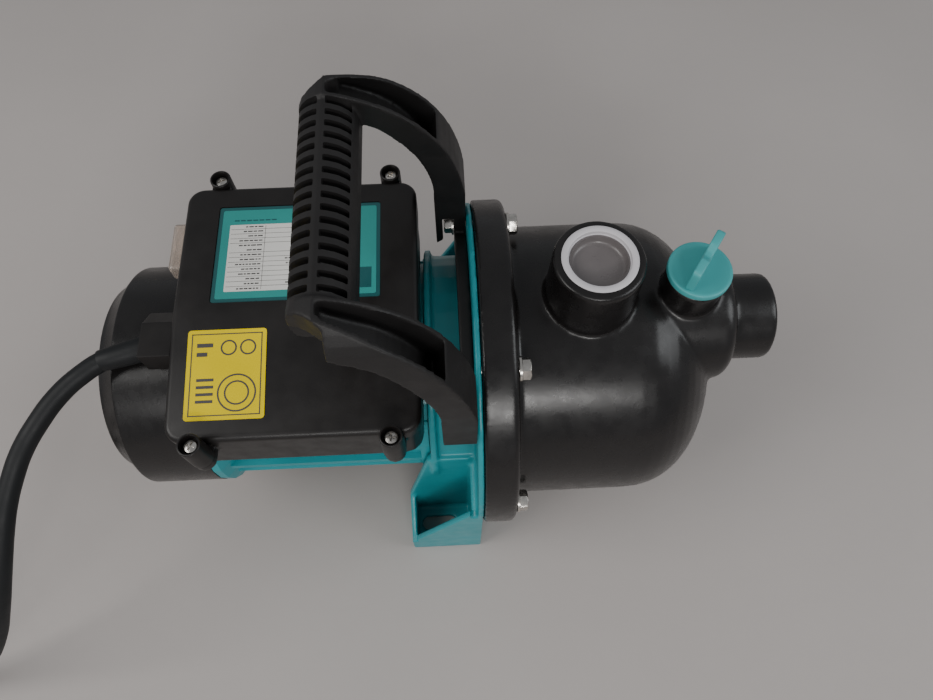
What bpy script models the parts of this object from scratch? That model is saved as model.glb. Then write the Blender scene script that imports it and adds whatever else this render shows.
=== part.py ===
"""Shallow well jet pump: moulded pump body, bracket, motor, terminal box, handle and cord.

Metres, +Z up.  X runs along the shaft, +X towards the suction inlet.  The origin is on the
surface that the feet stand on, at mid length and on the plane of symmetry.
"""
import math

import bmesh
import bpy
from mathutils import Matrix, Vector

MM = 0.001
GAP = 0.3 * MM                      # left between pieces that touch
WELD = 0.0002 * MM

# ---- driving dimensions ---------------------------------------------------------------
LENGTH = 347.6 * MM                 # rear cover to inlet rim
AXIS_Z = 98.0 * MM                  # shaft height
X_REAR = -LENGTH / 2
X_INLET = LENGTH / 2

FLANGE_R, FLANGE_X0, FLANGE_X1 = 92.6 * MM, 21.2 * MM, 38.6 * MM
BODY_R, BODY_WALL = 76.8 * MM, 4.2 * MM
DOME_X0, DOME_DEPTH, DOME_POWER = 100.0 * MM, 50.0 * MM, 2.3
NOSE_Z, NOSE_R, NOSE_X1 = 142.0 * MM, 32.5 * MM, 151.0 * MM
PORT_BORE_R = 16.0 * MM             # G1 female thread, drawn at its mean radius
INLET_R = 22.6 * MM
OUTLET_X, OUTLET_TOP, OUTLET_R, OUTLET_BASE_R = 76.5 * MM, 206.0 * MM, 21.6 * MM, 24.6 * MM
FILL_X, FILL_TOP, FILL_NECK_R = 126.0 * MM, 188.6 * MM, 14.4 * MM
DRAIN_Z, DRAIN_X1, DRAIN_NECK_R = 47.0 * MM, 152.0 * MM, 13.0 * MM
PLUG_BORE_R = 9.6 * MM
PLUG_R, PLUG_DISC = 15.3 * MM, 3.6 * MM

BOLT_CIRCLE_R, BOLT_COUNT, BOLT_SHIFT = 84.7 * MM, 6, math.radians(-3)
BOLT_R = 3.0 * MM

PLATE_X0, PLATE_X1, PLATE_R = 21.3 * MM, 25.7 * MM, 79.5 * MM
DISC_X0, DISC_X1, DISC_R = 17.9 * MM, 20.9 * MM, 91.4 * MM
NECK_R, NECK_WALL, NECK_X0 = 62.0 * MM, 3.6 * MM, -6.0 * MM

FOOT_X0, FOOT_X1 = -22.5 * MM, 20.7 * MM
FOOT_Y0, FOOT_Y1 = 60.0 * MM, 90.0 * MM
FOOT_WALL, SOLE = 3.4 * MM, 4.0 * MM

HOUSING_X0, HOUSING_X1 = -128.0 * MM, -6.4 * MM
HOUSING_R, FIN_R, HOUSING_BORE_R = 54.5 * MM, 58.0 * MM, 51.1 * MM
FIN_COUNT = 24
COVER_X1, COVER_R, COVER_WALL = -124.5 * MM, 62.0 * MM, 2.4 * MM

STATOR_R, STATOR_BORE_R = 50.4 * MM, 28.4 * MM
STATOR_X0, STATOR_X1, STATOR_SLOTS = -92.0 * MM, -28.0 * MM, 12
ROTOR_R = 28.0 * MM
TIE_R = 47.4 * MM                   # circle of the tie bolts
SHAFT_R, JOURNAL_R = 8.5 * MM, 7.5 * MM
BEARING_R, BEARING_WIDTH = 17.5 * MM, 11.0 * MM
FRONT_BEARING_X, REAR_BEARING_X = 7.0 * MM, -113.0 * MM

BOX_X0, BOX_X1, BOX_Y = -124.0 * MM, -8.0 * MM, 66.4 * MM
BOX_Z0, SEAM_Z, BOX_TOP = 139.5 * MM, 165.0 * MM, 182.0 * MM
BOX_WALL = 2.6 * MM
LID_CREASE_Y, LID_SLOPE = -8.0 * MM, math.radians(8.5)   # the lid's near half falls away
COVER_SCREW_X = (-108.7 * MM, -20.7 * MM)
COVER_SCREW_Y, COVER_SCREW_Z = 71.6 * MM, 181.0 * MM
COVER_EAR_R, COVER_HEAD_R = 5.5 * MM, 3.3 * MM

ARM_Y0, ARM_LOW_Y0, ARM_WALL, ARM_END_Z = 45.5 * MM, 48.5 * MM, 2.6 * MM, 160 * MM
ARM_FOOT_Z, ARM_X0, ARM_PLATE_X, ARM_X1 = 130.0, 1.8, 11.5, 17.6     # in millimetres, as are the curves below
OUTER_CURVE = ((-40, 265.4), (-11.4, 258.2), (12, 236.9), (17.6, 192.6))
INNER_CURVE = ((1.8, 190), (4.2, 212.8), (-13, 240), (-26, 246))
CORNER_CUT = ((-60, 50.2), (-50.5, 50.2), (-43.5, 53.2), (-37, 58.5), (-37, 85), (-60, 85))
ARM_OUTSIDE = ((70, 176), (71, 200), (70.6, 212), (69.8, 223), (68.2, 237), (66.6, 246), (65, 253),
               (63, 257.5),
               (60, 261.5), (57, 264.5))
ARM_INSIDE = ((48.5, 222), (47.5, 234), (46.5, 250.5), (45.7, 262))

YOKE_R0, YOKE_R1 = 60 * MM, 78.5 * MM
HANDLE_SCREW_Y, HANDLE_SCREW_Z = 52.5 * MM, 162.0 * MM

CORD_D = 10.0 * MM
GLAND_X, GLAND_Y, GLAND_Z = -141.0 * MM, -16.5 * MM, 168.0 * MM
COIL_X, COIL_Y, COIL_R0, COIL_R1, COIL_HIGH = -366.0 * MM, -91.0 * MM, 39.7 * MM, 70.3 * MM, 10.3 * MM
TAIL_X, TAIL_Z = COIL_X - 55 * MM, 14.0 * MM
PLUG_Y0, MAINS_PLUG_R = -38.0 * MM, 19.0 * MM

# The cord's route from the gland to the coil, in millimetres.
CORD_ROUTE = (
    (-142.9, -17.0, 168), (-159.5, -21.5, 167.5), (-171, -28.5, 166), (-182, -38, 163), (-191.5, -49.5,
            158.5),
    (-199.5, -61, 153), (-205, -72.5, 147), (-209, -83.5, 141), (-212.5, -94.5, 133.5), (-218, -110, 120),
    (-227, -126, 100), (-240, -138, 76), (-257, -147, 52), (-277, -154, 31), (-299, -159, 16),
    (-320, -161.5, 8), (-338, -162.5, 5.4),
)


# ---- materials ------------------------------------------------------------------------
def make_material(name, colour, roughness, metallic=0.0):
    material = bpy.data.materials.new(name)
    material.use_nodes = True
    shader = material.node_tree.nodes["Principled BSDF"]
    shader.inputs["Base Color"].default_value = (*colour, 1.0)
    shader.inputs["Roughness"].default_value = roughness
    shader.inputs["Metallic"].default_value = metallic
    return material


for old in list(bpy.data.objects):
    bpy.data.objects.remove(old, do_unlink=True)

pump = bpy.data.collections.new("jet_pump")
bpy.context.scene.collection.children.link(pump)

BLACK = make_material("black_gloss_plastic", (0.022, 0.020, 0.020), 0.28)
MATT = make_material("black_matt_plastic", (0.030, 0.028, 0.029), 0.55)
TEAL = make_material("teal_plastic", (0.022, 0.30, 0.33), 0.38)
PLUG_TEAL = make_material("teal_plug", (0.045, 0.32, 0.33), 0.42)
CAP = make_material("white_cap", (0.72, 0.72, 0.74), 0.35)
STEEL = make_material("bright_steel", (0.62, 0.60, 0.57), 0.25, 1.0)
IRON = make_material("laminated_iron", (0.30, 0.30, 0.31), 0.5, 1.0)
COPPER = make_material("copper_winding", (0.65, 0.27, 0.12), 0.4, 1.0)
BRASS = make_material("brass", (0.75, 0.55, 0.25), 0.35, 1.0)
ALUMINIUM = make_material("cast_aluminium", (0.60, 0.60, 0.60), 0.5, 1.0)
CERAMIC = make_material("ceramic", (0.80, 0.78, 0.72), 0.2)
NORYL = make_material("grey_noryl", (0.10, 0.10, 0.11), 0.45)
RUBBER = make_material("black_rubber", (0.018, 0.018, 0.019), 0.7)
CLEAR = make_material("clear_boot", (0.75, 0.62, 0.50), 0.25)
CORD = make_material("cord_rubber", (0.030, 0.034, 0.036), 0.6)
LIGHT = make_material("white_plastic", (0.70, 0.70, 0.66), 0.4)


# ---- modelling helpers ----------------------------------------------------------------
def add_object(name, mesh, material=None, matrix=None):
    thing = bpy.data.objects.new(name, mesh)
    if matrix is not None:
        mesh.transform(matrix)
    if material is not None:
        mesh.materials.clear()
        mesh.materials.append(material)
    pump.objects.link(thing)
    return thing


def settle(thing):
    """Turn an object's modifiers, or a curve, into one mesh whose faces point out."""
    bpy.context.view_layer.update()
    graph = bpy.context.evaluated_depsgraph_get()
    mesh = bpy.data.meshes.new_from_object(thing.evaluated_get(graph), depsgraph=graph)
    mesh.transform(thing.matrix_world)
    work = bmesh.new()
    work.from_mesh(mesh)
    bmesh.ops.remove_doubles(work, verts=work.verts, dist=WELD)
    bmesh.ops.recalc_face_normals(work, faces=work.faces)
    work.to_mesh(mesh)
    work.free()
    name = thing.name
    bpy.data.objects.remove(thing, do_unlink=True)
    return add_object(name, mesh)


def paint(thing, material):
    thing.data.materials.clear()
    thing.data.materials.append(material)
    thing.data.shade_smooth()
    thing.data.set_sharp_from_angle(angle=math.radians(32))
    return thing


def along_x(y=0.0, z=AXIS_Z):
    """A frame whose +Z is the world's +X, for pieces turned about the shaft or parallel to it."""
    return Matrix.Translation((0, y, z)) @ Matrix.Rotation(math.radians(90), 4, "Y")


def along_y(x, z):
    return Matrix.Translation((x, 0, z)) @ Matrix.Rotation(math.radians(-90), 4, "X")


def along_z(x, y=0.0):
    return Matrix.Translation((x, y, 0))


def turned(name, profile, frame, steps=48, closed=True):
    """Turn (radius, height) points about the frame's Z.  An open profile starts and ends on Z."""
    mesh = bpy.data.meshes.new(name)
    count = len(profile)
    edges = [(i, i + 1) for i in range(count - 1)]
    if closed:
        edges.append((count - 1, 0))
    mesh.from_pydata([(r, 0, h) for r, h in profile], edges, [])
    thing = add_object(name, mesh)
    screw = thing.modifiers.new("turn", "SCREW")
    screw.axis = "Z"
    screw.steps = screw.render_steps = steps
    screw.use_merge_vertices = True
    screw.merge_threshold = 0.00001
    thing.matrix_world = frame
    return settle(thing)


def tube(name, inner, outer, low, high, frame, steps=32):
    return turned(name, [(inner, low), (outer, low), (outer, high), (inner, high)], frame, steps)


def rod(name, radius, low, high, frame, steps=32):
    bpy.ops.mesh.primitive_cylinder_add(vertices=steps, radius=radius, depth=high - low)
    thing = bpy.context.active_object
    thing.name = name
    for home in list(thing.users_collection):
        home.objects.unlink(thing)
    pump.objects.link(thing)
    thing.matrix_world = frame @ Matrix.Translation((0, 0, (low + high) / 2))
    return settle(thing)


def block(name, low, high, bevel=0.0, segments=2):
    """A box between two corners, with its edges rounded."""
    bpy.ops.mesh.primitive_cube_add(size=1)
    thing = bpy.context.active_object
    thing.name = name
    for home in list(thing.users_collection):
        home.objects.unlink(thing)
    pump.objects.link(thing)
    size = Vector(high) - Vector(low)
    middle = (Vector(high) + Vector(low)) / 2
    thing.data.transform(Matrix.Translation(middle) @ Matrix.Diagonal((*size, 1)))
    if bevel:
        soft = thing.modifiers.new("edges", "BEVEL")
        soft.width = bevel
        soft.segments = segments
    return settle(thing)


def plate(name, outline, thickness, frame, holes=()):
    """A flat outline in the frame's XY plane, extruded from Z = 0 to the thickness."""
    curve = bpy.data.curves.new(name, "CURVE")
    curve.dimensions = "2D"
    curve.fill_mode = "BOTH"
    curve.extrude = thickness / 2
    for loop in (outline, *holes):
        spline = curve.splines.new("POLY")
        spline.points.add(len(loop) - 1)
        for point, (x, y) in zip(spline.points, loop):
            point.co = (x, y, 0, 1)
        spline.use_cyclic_u = True
    thing = bpy.data.objects.new(name, curve)
    pump.objects.link(thing)
    thing.matrix_world = frame @ Matrix.Translation((0, 0, thickness / 2))
    return settle(thing)


def side_plate(name, outline_xz, y_low, y_high):
    """An outline of (x, z) points, extruded along Y."""
    frame = Matrix.Translation((0, y_high, 0)) @ Matrix.Rotation(math.radians(90), 4, "X")
    return plate(name, outline_xz, y_high - y_low, frame)


def end_plate(name, outline_yz, x_low, x_high, holes=()):
    """An outline of (y, z) points, extruded along X."""
    turn = Matrix(((0, 0, 1, 0), (1, 0, 0, 0), (0, 1, 0, 0), (0, 0, 0, 1)))
    return plate(name, outline_yz, x_high - x_low, Matrix.Translation((x_low, 0, 0)) @ turn, holes)


def combine(thing, others, operation):
    """Boolean each of the others into the thing, and remove them."""
    for other in others:
        step = thing.modifiers.new(operation, "BOOLEAN")
        step.operation = operation
        step.object = other
        step.solver = "EXACT"
    name = thing.name
    result = settle(thing)
    for other in others:
        bpy.data.objects.remove(other, do_unlink=True)
    result.name = name
    return result


def cut(thing, *cutters):
    return combine(thing, cutters, "DIFFERENCE")


def join(thing, *others):
    return combine(thing, others, "UNION")


def arc(cx, cy, radius, start, end, count):
    """Points on a circle from one angle to another, in degrees."""
    return [(cx + radius * math.cos(math.radians(start + (end - start) * i / count)),
             cy + radius * math.sin(math.radians(start + (end - start) * i / count)))
            for i in range(count + 1)]


def round_shaft(radius, degrees):
    """A point of the YZ plane at a radius and a turn about the shaft."""
    turn = math.radians(degrees)
    return radius * math.cos(turn), AXIS_Z + radius * math.sin(turn)


def slot_outline(cx, cy, length, width, count=6):
    run = (length - width) / 2
    return (arc(cx + run, cy, width / 2, -90, 90, count)
            + arc(cx - run, cy, width / 2, 90, 270, count))


def hexagon(radius):
    return arc(0, 0, radius, 0, 300, 5)


def on_circle(radius, angle):
    """The (y, z) place on a circle about the shaft."""
    return radius * math.cos(angle), AXIS_Z + radius * math.sin(angle)


# ---- pump body ------------------------------------------------------------------------
def dome_profile(radius, x_start, depth, steps):
    """A blunt dome: (radius, x) points from the cylinder to the centre."""
    points = []
    for i in range(steps + 1):
        turn = math.radians(90 * i / steps)
        points.append((radius * math.cos(turn) ** (2 / DOME_POWER),
                       x_start + depth * math.sin(turn) ** (2 / DOME_POWER)))
    points[-1] = (0.0, x_start + depth)
    return points


def build_pump_body():
    shaft = along_x()
    soft = 3.0 * MM
    flange = [(0.0, FLANGE_X0), (FLANGE_R - 1.2 * MM, FLANGE_X0), (FLANGE_R, FLANGE_X0 + 1.2 * MM)]
    flange += [(r, x) for r, x in arc(FLANGE_R - soft, FLANGE_X1 - soft, soft, 0, 90, 2)]
    flange += [(BODY_R + 1.5 * MM, FLANGE_X1), (BODY_R, FLANGE_X1 + 1.5 * MM)]
    body = turned("pump_body", flange + dome_profile(BODY_R, DOME_X0, DOME_DEPTH, 5), shaft, 32, False)
    nose_round = 7.0 * MM
    nose = turned("nose", [(0.0, 96 * MM), (NOSE_R, 96 * MM)]
                  + arc(NOSE_R - nose_round, NOSE_X1 - nose_round, nose_round, 0, 90, 2)
                  + [(INLET_R, NOSE_X1), (INLET_R, X_INLET - 2.4 * MM),
                     (INLET_R - 0.8 * MM, X_INLET - 0.7 * MM),
                     (INLET_R - 2.2 * MM, X_INLET), (0.0, X_INLET)],
                  along_x(0, NOSE_Z), 24, False)
    outlet = turned("outlet", [(0.0, 140 * MM), (OUTLET_BASE_R + 1.2 * MM, 140 * MM),
                               (OUTLET_BASE_R, 176 * MM), (OUTLET_R, OUTLET_TOP - 1.2 * MM),
                               (OUTLET_R - 1.0 * MM, OUTLET_TOP), (0.0, OUTLET_TOP)],
                    along_z(OUTLET_X), 24, False)
    fill = rod("fill", FILL_NECK_R, 150 * MM, FILL_TOP, along_z(FILL_X), 20)
    drain = rod("drain", DRAIN_NECK_R, 110 * MM, DRAIN_X1, along_x(0, DRAIN_Z), 20)
    body = join(body, nose, outlet, fill, drain)

    recess_r = PLATE_R + 0.9 * MM
    step_x = PLATE_X1 + GAP
    cavity = turned("cavity", [(0.0, FLANGE_X0 - 2 * MM), (recess_r, FLANGE_X0 - 2 * MM), (recess_r, step_x),
                               (BODY_R - BODY_WALL, step_x)]
                    + dome_profile(BODY_R - BODY_WALL, DOME_X0, DOME_DEPTH - BODY_WALL, 3), shaft, 26, False)
    nose_bore = turned("nose_bore", [(0.0, 110 * MM), (NOSE_R - 4 * MM, 110 * MM),
                                     (NOSE_R - 4 * MM, 143 * MM),
                                     (PORT_BORE_R, 147 * MM), (PORT_BORE_R, X_INLET + 2 * MM),
                                     (0.0, X_INLET + 2 * MM)], along_x(0, NOSE_Z), 20, False)
    outlet_bore = rod("outlet_bore", PORT_BORE_R, 150 * MM, OUTLET_TOP + 2 * MM, along_z(OUTLET_X), 20)
    fill_bore = rod("fill_bore", PLUG_BORE_R, 155 * MM, FILL_TOP + 2 * MM, along_z(FILL_X), 16)
    drain_bore = rod("drain_bore", PLUG_BORE_R, 105 * MM, DRAIN_X1 + 2 * MM, along_x(0, DRAIN_Z), 16)
    ring_groove = tube("ring_groove", 74.2 * MM, 77.8 * MM, step_x - 1 * MM, step_x + 3.2 * MM, shaft, 24)
    bolt_holes = []
    for i in range(BOLT_COUNT):
        y, z = on_circle(BOLT_CIRCLE_R, BOLT_SHIFT + i * math.tau / BOLT_COUNT)
        bolt_holes.append(rod("hole", BOLT_R + GAP, FLANGE_X0 - 2 * MM, FLANGE_X1 + 2 * MM, along_x(y, z), 8))
    body = cut(body, cavity, nose_bore, outlet_bore, fill_bore, drain_bore, ring_groove, *bolt_holes)
    paint(body, BLACK)


def build_flange_bolts():
    head_r, head = 5.6 * MM, 4.2 * MM
    washer_r, washer = 6.2 * MM, 1.3 * MM
    tip_x = DISC_X0 + 0.2 * MM
    for i in range(BOLT_COUNT):
        y, z = on_circle(BOLT_CIRCLE_R, BOLT_SHIFT + i * math.tau / BOLT_COUNT)
        frame = along_x(y, z)
        base = FLANGE_X1 + GAP
        bolt = turned(f"flange_bolt_{i + 1}", [(0.0, tip_x), (BOLT_R, tip_x), (BOLT_R, base),
                                               (washer_r, base),
                                              (washer_r, base + washer), (0.0,
                                                      base + washer)], frame, 10, False)
        head_body = plate("head", hexagon(head_r), head + 0.4 * MM,
                          frame @ Matrix.Translation((0, 0, base + washer - 0.4 * MM)))
        paint(join(bolt, head_body), STEEL)


# ---- plugs and caps -------------------------------------------------------------------
def build_plug(name, frame, seat, wing_turn):
    """A hand plug: disc, threaded shank and a wing across the disc, with its ring on the shank."""
    low = seat + 1.6 * MM
    shank_r = PLUG_BORE_R - GAP
    plug = turned(name, [(0.0, seat - 11.0 * MM), (shank_r - 1 * MM, seat - 11.0 * MM),
                         (shank_r, seat - 10.0 * MM),
                         (shank_r, seat - 0.4 * MM), (shank_r - 0.8 * MM, seat - 0.4 * MM),
                         (shank_r - 0.8 * MM, low), (PLUG_R - 0.6 * MM, low), (PLUG_R, low + 0.6 * MM),
                         (PLUG_R, low + PLUG_DISC - 0.8 * MM), (PLUG_R - 0.8 * MM, low + PLUG_DISC),
                         (0.0, low + PLUG_DISC)], frame, 20, False)
    top = low + PLUG_DISC
    half, tall, thick = 14.5 * MM, 15.4 * MM, 4.0 * MM
    outline = [(-half + 1 * MM, -1 * MM), (half - 1 * MM, -1 * MM)]
    outline += arc(half - 3 * MM, tall - 3 * MM, 3 * MM, 0, 90, 2)
    outline += [(0.0, tall - 2.2 * MM)]
    outline += arc(-half + 3 * MM, tall - 3 * MM, 3 * MM, 90, 180, 2)
    stand = (frame @ Matrix.Translation((0, 0, top)) @ Matrix.Rotation(wing_turn, 4, "Z")
             @ Matrix.Translation((0, thick / 2, 0)) @ Matrix.Rotation(math.radians(90), 4, "X"))
    paint(join(plug, plate("wing", outline, thick, stand)), PLUG_TEAL)
    ring = [(r, h) for r, h in arc(shank_r + 1.4 * MM, seat + 0.8 * MM, 0.45 * MM, 0, 288, 4)]
    paint(turned(name + "_o_ring", ring, frame, 14), RUBBER)


def build_port_cap(name, frame, rim):
    """A thin moulded cap pushed into a port, with a flat ring just inside the rim."""
    skin, depth = 1.1 * MM, 11.0 * MM
    ring_r, lip_r = 15.7 * MM, 12.0 * MM
    top = rim - GAP
    profile = [(0.0, top - depth), (lip_r + skin, top - depth), (ring_r, top - depth + 2 * MM), (ring_r, top),
               (lip_r + skin, top), (lip_r, top - 1.2 * MM), (lip_r, top - depth + skin), (0.0,
                       top - depth + skin)]
    paint(turned(name, profile, frame, 20, False), CAP)


# ---- wet end --------------------------------------------------------------------------
def build_wet_end():
    shaft = along_x()
    plate_hole = 11.0 * MM
    backing = turned("backing_plate", [(plate_hole, PLATE_X0), (PLATE_R, PLATE_X0), (PLATE_R, PLATE_X1),
                                       (21.0 * MM, PLATE_X1), (21.0 * MM, 31.0 * MM), (16.6 * MM, 31.0 * MM),
                                       (16.6 * MM, 24.2 * MM), (plate_hole, 24.2 * MM)], shaft, 28)
    paint(backing, NORYL)
    ring = arc(75.8 * MM, PLATE_X1 + GAP + 1.55 * MM, 1.2 * MM, 0, 270, 3)
    paint(turned("body_o_ring", ring, shaft, 24), RUBBER)

    paint(tube("seal_seat", 9.4 * MM, 16.3 * MM, 24.5 * MM, 29.5 * MM, shaft, 20), CERAMIC)
    seal = [(JOURNAL_R + GAP, 29.8 * MM), (13.0 * MM, 29.8 * MM), (13.0 * MM, 33.0 * MM),
            (11.5 * MM, 33.6 * MM),
            (11.5 * MM, 37.6 * MM), (12.6 * MM, 38.2 * MM), (12.6 * MM, 40.2 * MM), (JOURNAL_R + GAP,
                    40.2 * MM)]
    paint(turned("seal_rotating", seal, shaft, 20), STEEL)

    build_impeller(shaft)
    nut = plate("impeller_nut", hexagon(7.4 * MM), 5.0 * MM,
                shaft @ Matrix.Translation((0, 0, 56.1 * MM)))
    nut = cut(nut, rod("bore", 4.3 * MM, 50 * MM, 70 * MM, shaft, 16))
    paint(nut, BRASS)
    build_diffuser(shaft)
    build_ejector(shaft)


def build_impeller(shaft):
    back_x, front_x, radius, disc = 43.0 * MM, 53.0 * MM, 47.0 * MM, 2.4 * MM
    wheel = turned("impeller", [(JOURNAL_R - 1.2 * MM, 40.5 * MM), (13.0 * MM, 40.5 * MM),
                                (13.0 * MM, back_x),
                                (radius, back_x), (radius, back_x + disc), (12.0 * MM, back_x + disc),
                                (11.0 * MM, 55.8 * MM), (JOURNAL_R - 1.2 * MM, 55.8 * MM)], shaft, 20)
    shroud = tube("shroud", 19.0 * MM, radius, front_x - disc, front_x, shaft, 20)
    blades = []
    for i in range(6):
        points = []
        for side in (1, -1):
            run = range(4) if side == 1 else range(3, -1, -1)
            for j in run:
                r = (21.0 + 24.0 * j / 3) * MM
                turn = math.radians(60 * i - 15 * j) + side * 0.9 * MM / r
                points.append((r * math.cos(turn), AXIS_Z + r * math.sin(turn)))
        blades.append(end_plate("blade", points, back_x + disc - 0.4 * MM, front_x - disc + 0.4 * MM))
    paint(join(wheel, shroud, *blades), NORYL)


def build_diffuser(shaft):
    """The cup over the impeller: its eye feeds the impeller, its rim slots pass the water out."""
    rim_r, wall = 58.0 * MM, 2.6 * MM
    cup = turned("diffuser", [(rim_r - wall, 26.1 * MM), (rim_r, 26.1 * MM), (rim_r, 56.5 * MM),
                              (rim_r - 3 * MM, 59.0 * MM), (18.0 * MM, 61.0 * MM), (18.0 * MM, 66.0 * MM),
                              (13.6 * MM, 66.0 * MM), (13.6 * MM, 56.6 * MM), (rim_r - wall,
                                      55.0 * MM)], shaft, 24)
    windows = []
    for i in range(6):
        turn = math.tau * (i + 0.5) / 6
        y, z = on_circle(rim_r, turn)
        window = block("window", (32 * MM, -6 * MM, -8 * MM), (48 * MM, 6 * MM, 8 * MM))
        window.data.transform(Matrix.Translation((0, y, z)) @ Matrix.Rotation(turn, 4, "X"))
        windows.append(window)
    paint(cut(cup, *windows), NORYL)


def build_ejector(shaft):
    venturi = turned("venturi_tube", [(12.0 * MM, 57.2 * MM), (13.3 * MM, 57.2 * MM), (13.3 * MM, 66.3 * MM),
                                      (17.0 * MM, 66.3 * MM), (17.0 * MM, 69.0 * MM), (11.0 * MM, 88.0 * MM),
                                      (11.0 * MM, 110.0 * MM), (10.0 * MM, 110.0 * MM), (6.0 * MM,
                                              102.0 * MM),
                                      (6.0 * MM, 92.0 * MM), (10.0 * MM, 66.0 * MM)], shaft, 20)
    paint(venturi, NORYL)
    wall = 2.6 * MM
    drum_r = 19.0 * MM
    drum = rod("ejector_housing", drum_r, 98.0 * MM, 142.0 * MM, shaft, 24)
    riser = rod("riser", 15.0 * MM, 105.0 * MM, NOSE_Z, along_z(121.0 * MM), 20)
    drum = join(drum, riser)
    hollow = rod("hollow", drum_r - wall, 98.0 * MM + wall, 142.0 * MM - wall, shaft, 20)
    riser_bore = rod("riser_bore", 15.0 * MM - wall, 100.0 * MM, NOSE_Z + 2 * MM, along_z(121.0 * MM), 16)
    front = rod("front", 11.3 * MM, 90.0 * MM, 105.0 * MM, shaft, 16)
    back = rod("back", 7.3 * MM, 130.0 * MM, 150.0 * MM, shaft, 16)
    paint(cut(drum, hollow, riser_bore, front, back), NORYL)
    nozzle = turned("nozzle", [(3.0 * MM, 114.0 * MM), (4.2 * MM, 114.0 * MM), (7.0 * MM, 132.0 * MM),
                               (7.0 * MM, 142.3 * MM), (10.0 * MM, 142.3 * MM), (10.0 * MM, 144.3 * MM),
                               (5.0 * MM, 144.3 * MM), (5.0 * MM, 132.0 * MM)], shaft, 16)
    paint(nozzle, BRASS)


# ---- bracket --------------------------------------------------------------------------
def build_foot(side):
    """One foot box: sole, low rear wall, tall outer gusset and the inner wall that meets the neck."""
    inner, outer = side * FOOT_Y0, side * FOOT_Y1
    inner_face, outer_face = side * (FOOT_Y0 + FOOT_WALL), side * (FOOT_Y1 - FOOT_WALL)
    beyond = side * (FOOT_Y1 + 5 * MM)
    foot = side_plate("foot", [(FOOT_X0, 0), (FOOT_X1, 0), (FOOT_X1, 112 * MM), (-8.0 * MM, 112 * MM),
                               (FOOT_X0, 37 * MM)], *sorted((inner, outer)))
    pocket = side_plate("pocket", [(FOOT_X0 + FOOT_WALL, SOLE), (14.6 * MM, SOLE), (14.6 * MM, 130 * MM),
                                   (FOOT_X0 + FOOT_WALL, 130 * MM)], *sorted((inner_face, outer_face)))
    slope = side_plate("slope", [(-30 * MM, 22 * MM), (FOOT_X0, 22 * MM), (16.4 * MM, 100 * MM),
                                 (30 * MM, 100 * MM),
                                 (30 * MM, 130 * MM), (-30 * MM, 130 * MM)],
                       *sorted((outer_face - side * 0.2 * MM, beyond)))
    dip = end_plate("dip", [(inner_face, 37 * MM), (outer_face, 22 * MM), (beyond, 22 * MM),
                            (beyond, 130 * MM),
                            (inner_face, 130 * MM)], -30 * MM, FOOT_X0 + FOOT_WALL + 0.2 * MM)
    crown_y = inner_face - side * 0.7 * MM
    crown = end_plate("crown", [(crown_y, 104 * MM), (beyond, 84 * MM), (beyond, 130 * MM),
                                (crown_y, 130 * MM)], 14.0 * MM, 30 * MM)
    return cut(foot, pocket, slope, dip, crown)


def build_bracket():
    shaft = along_x()
    hub_r, hub_x0 = 22.5 * MM, 1.0 * MM
    seat_r = BEARING_R + GAP
    seat_x1 = FRONT_BEARING_X + BEARING_WIDTH / 2 + GAP
    disc = turned("bracket", [(10.5 * MM, seat_x1), (seat_r, seat_x1), (seat_r, hub_x0), (hub_r, hub_x0),
                              (hub_r + 1.5 * MM, 14.4 * MM), (NECK_R - NECK_WALL, 14.4 * MM),
                              (NECK_R - NECK_WALL, NECK_X0), (NECK_R + 3.4 * MM, NECK_X0),
                              (NECK_R + 3.4 * MM, NECK_X0 + 3.4 * MM), (NECK_R, NECK_X0 + 4.2 * MM),
                              (NECK_R, DISC_X0), (DISC_R - 0.8 * MM, DISC_X0), (DISC_R, DISC_X0 + 0.8 * MM),
                              (DISC_R, DISC_X1), (10.5 * MM, DISC_X1)], shaft, 32)
    apron_y = FOOT_Y1 - 0.6 * MM
    apron = end_plate("apron", [(-apron_y, 0.2 * MM), (-FOOT_Y0 + 6 * MM, 0.2 * MM), (-40 * MM, 16 * MM),
                                (40 * MM, 16 * MM), (FOOT_Y0 - 6 * MM, 0.2 * MM), (apron_y, 0.2 * MM),
                                (apron_y, 83 * MM), (-apron_y, 83 * MM)], 14.9 * MM, DISC_X1 - 0.3 * MM)
    opening = rod("opening", NECK_R - 2 * MM, 0.0, 30 * MM, shaft, 24)
    apron = cut(apron, opening)
    disc = join(disc, apron, build_foot(-1), build_foot(1))
    cutters = []
    for side in (-1, 1):
        slot = slot_outline(-5.5 * MM, side * 75 * MM, 23 * MM, 9 * MM)
        cutters.append(plate("slot", slot, 12 * MM, Matrix.Translation((0, 0, -4 * MM))))
    for i in range(BOLT_COUNT):
        y, z = on_circle(BOLT_CIRCLE_R, BOLT_SHIFT + i * math.tau / BOLT_COUNT)
        cutters.append(rod("hole", BOLT_R + GAP, 10 * MM, 30 * MM, along_x(y, z), 8))
    for side in (-1, 1):
        cutters.append(rod("hole", 2.6 * MM, 10 * MM, 30 * MM,
                           along_x(side * HANDLE_SCREW_Y, HANDLE_SCREW_Z), 8))
    disc = cut(disc, *cutters)
    paint(disc, TEAL)


# ---- motor ----------------------------------------------------------------------------
def housing_outline():
    """The housing's section: fins round the sides and belly, and a plain saddle under the box."""
    points = []
    step = 360 / FIN_COUNT
    for i in range(FIN_COUNT):
        middle = i * step
        if 35 < middle < 145:
            points += arc(0, AXIS_Z, FIN_R, middle - step / 2, middle, 1)
            continue
        for offset, radius in ((-0.18, HOUSING_R), (-0.14, FIN_R), (0.14, FIN_R), (0.18, HOUSING_R)):
            points.append(round_shaft(radius, middle + offset * step))
    return points


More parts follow.
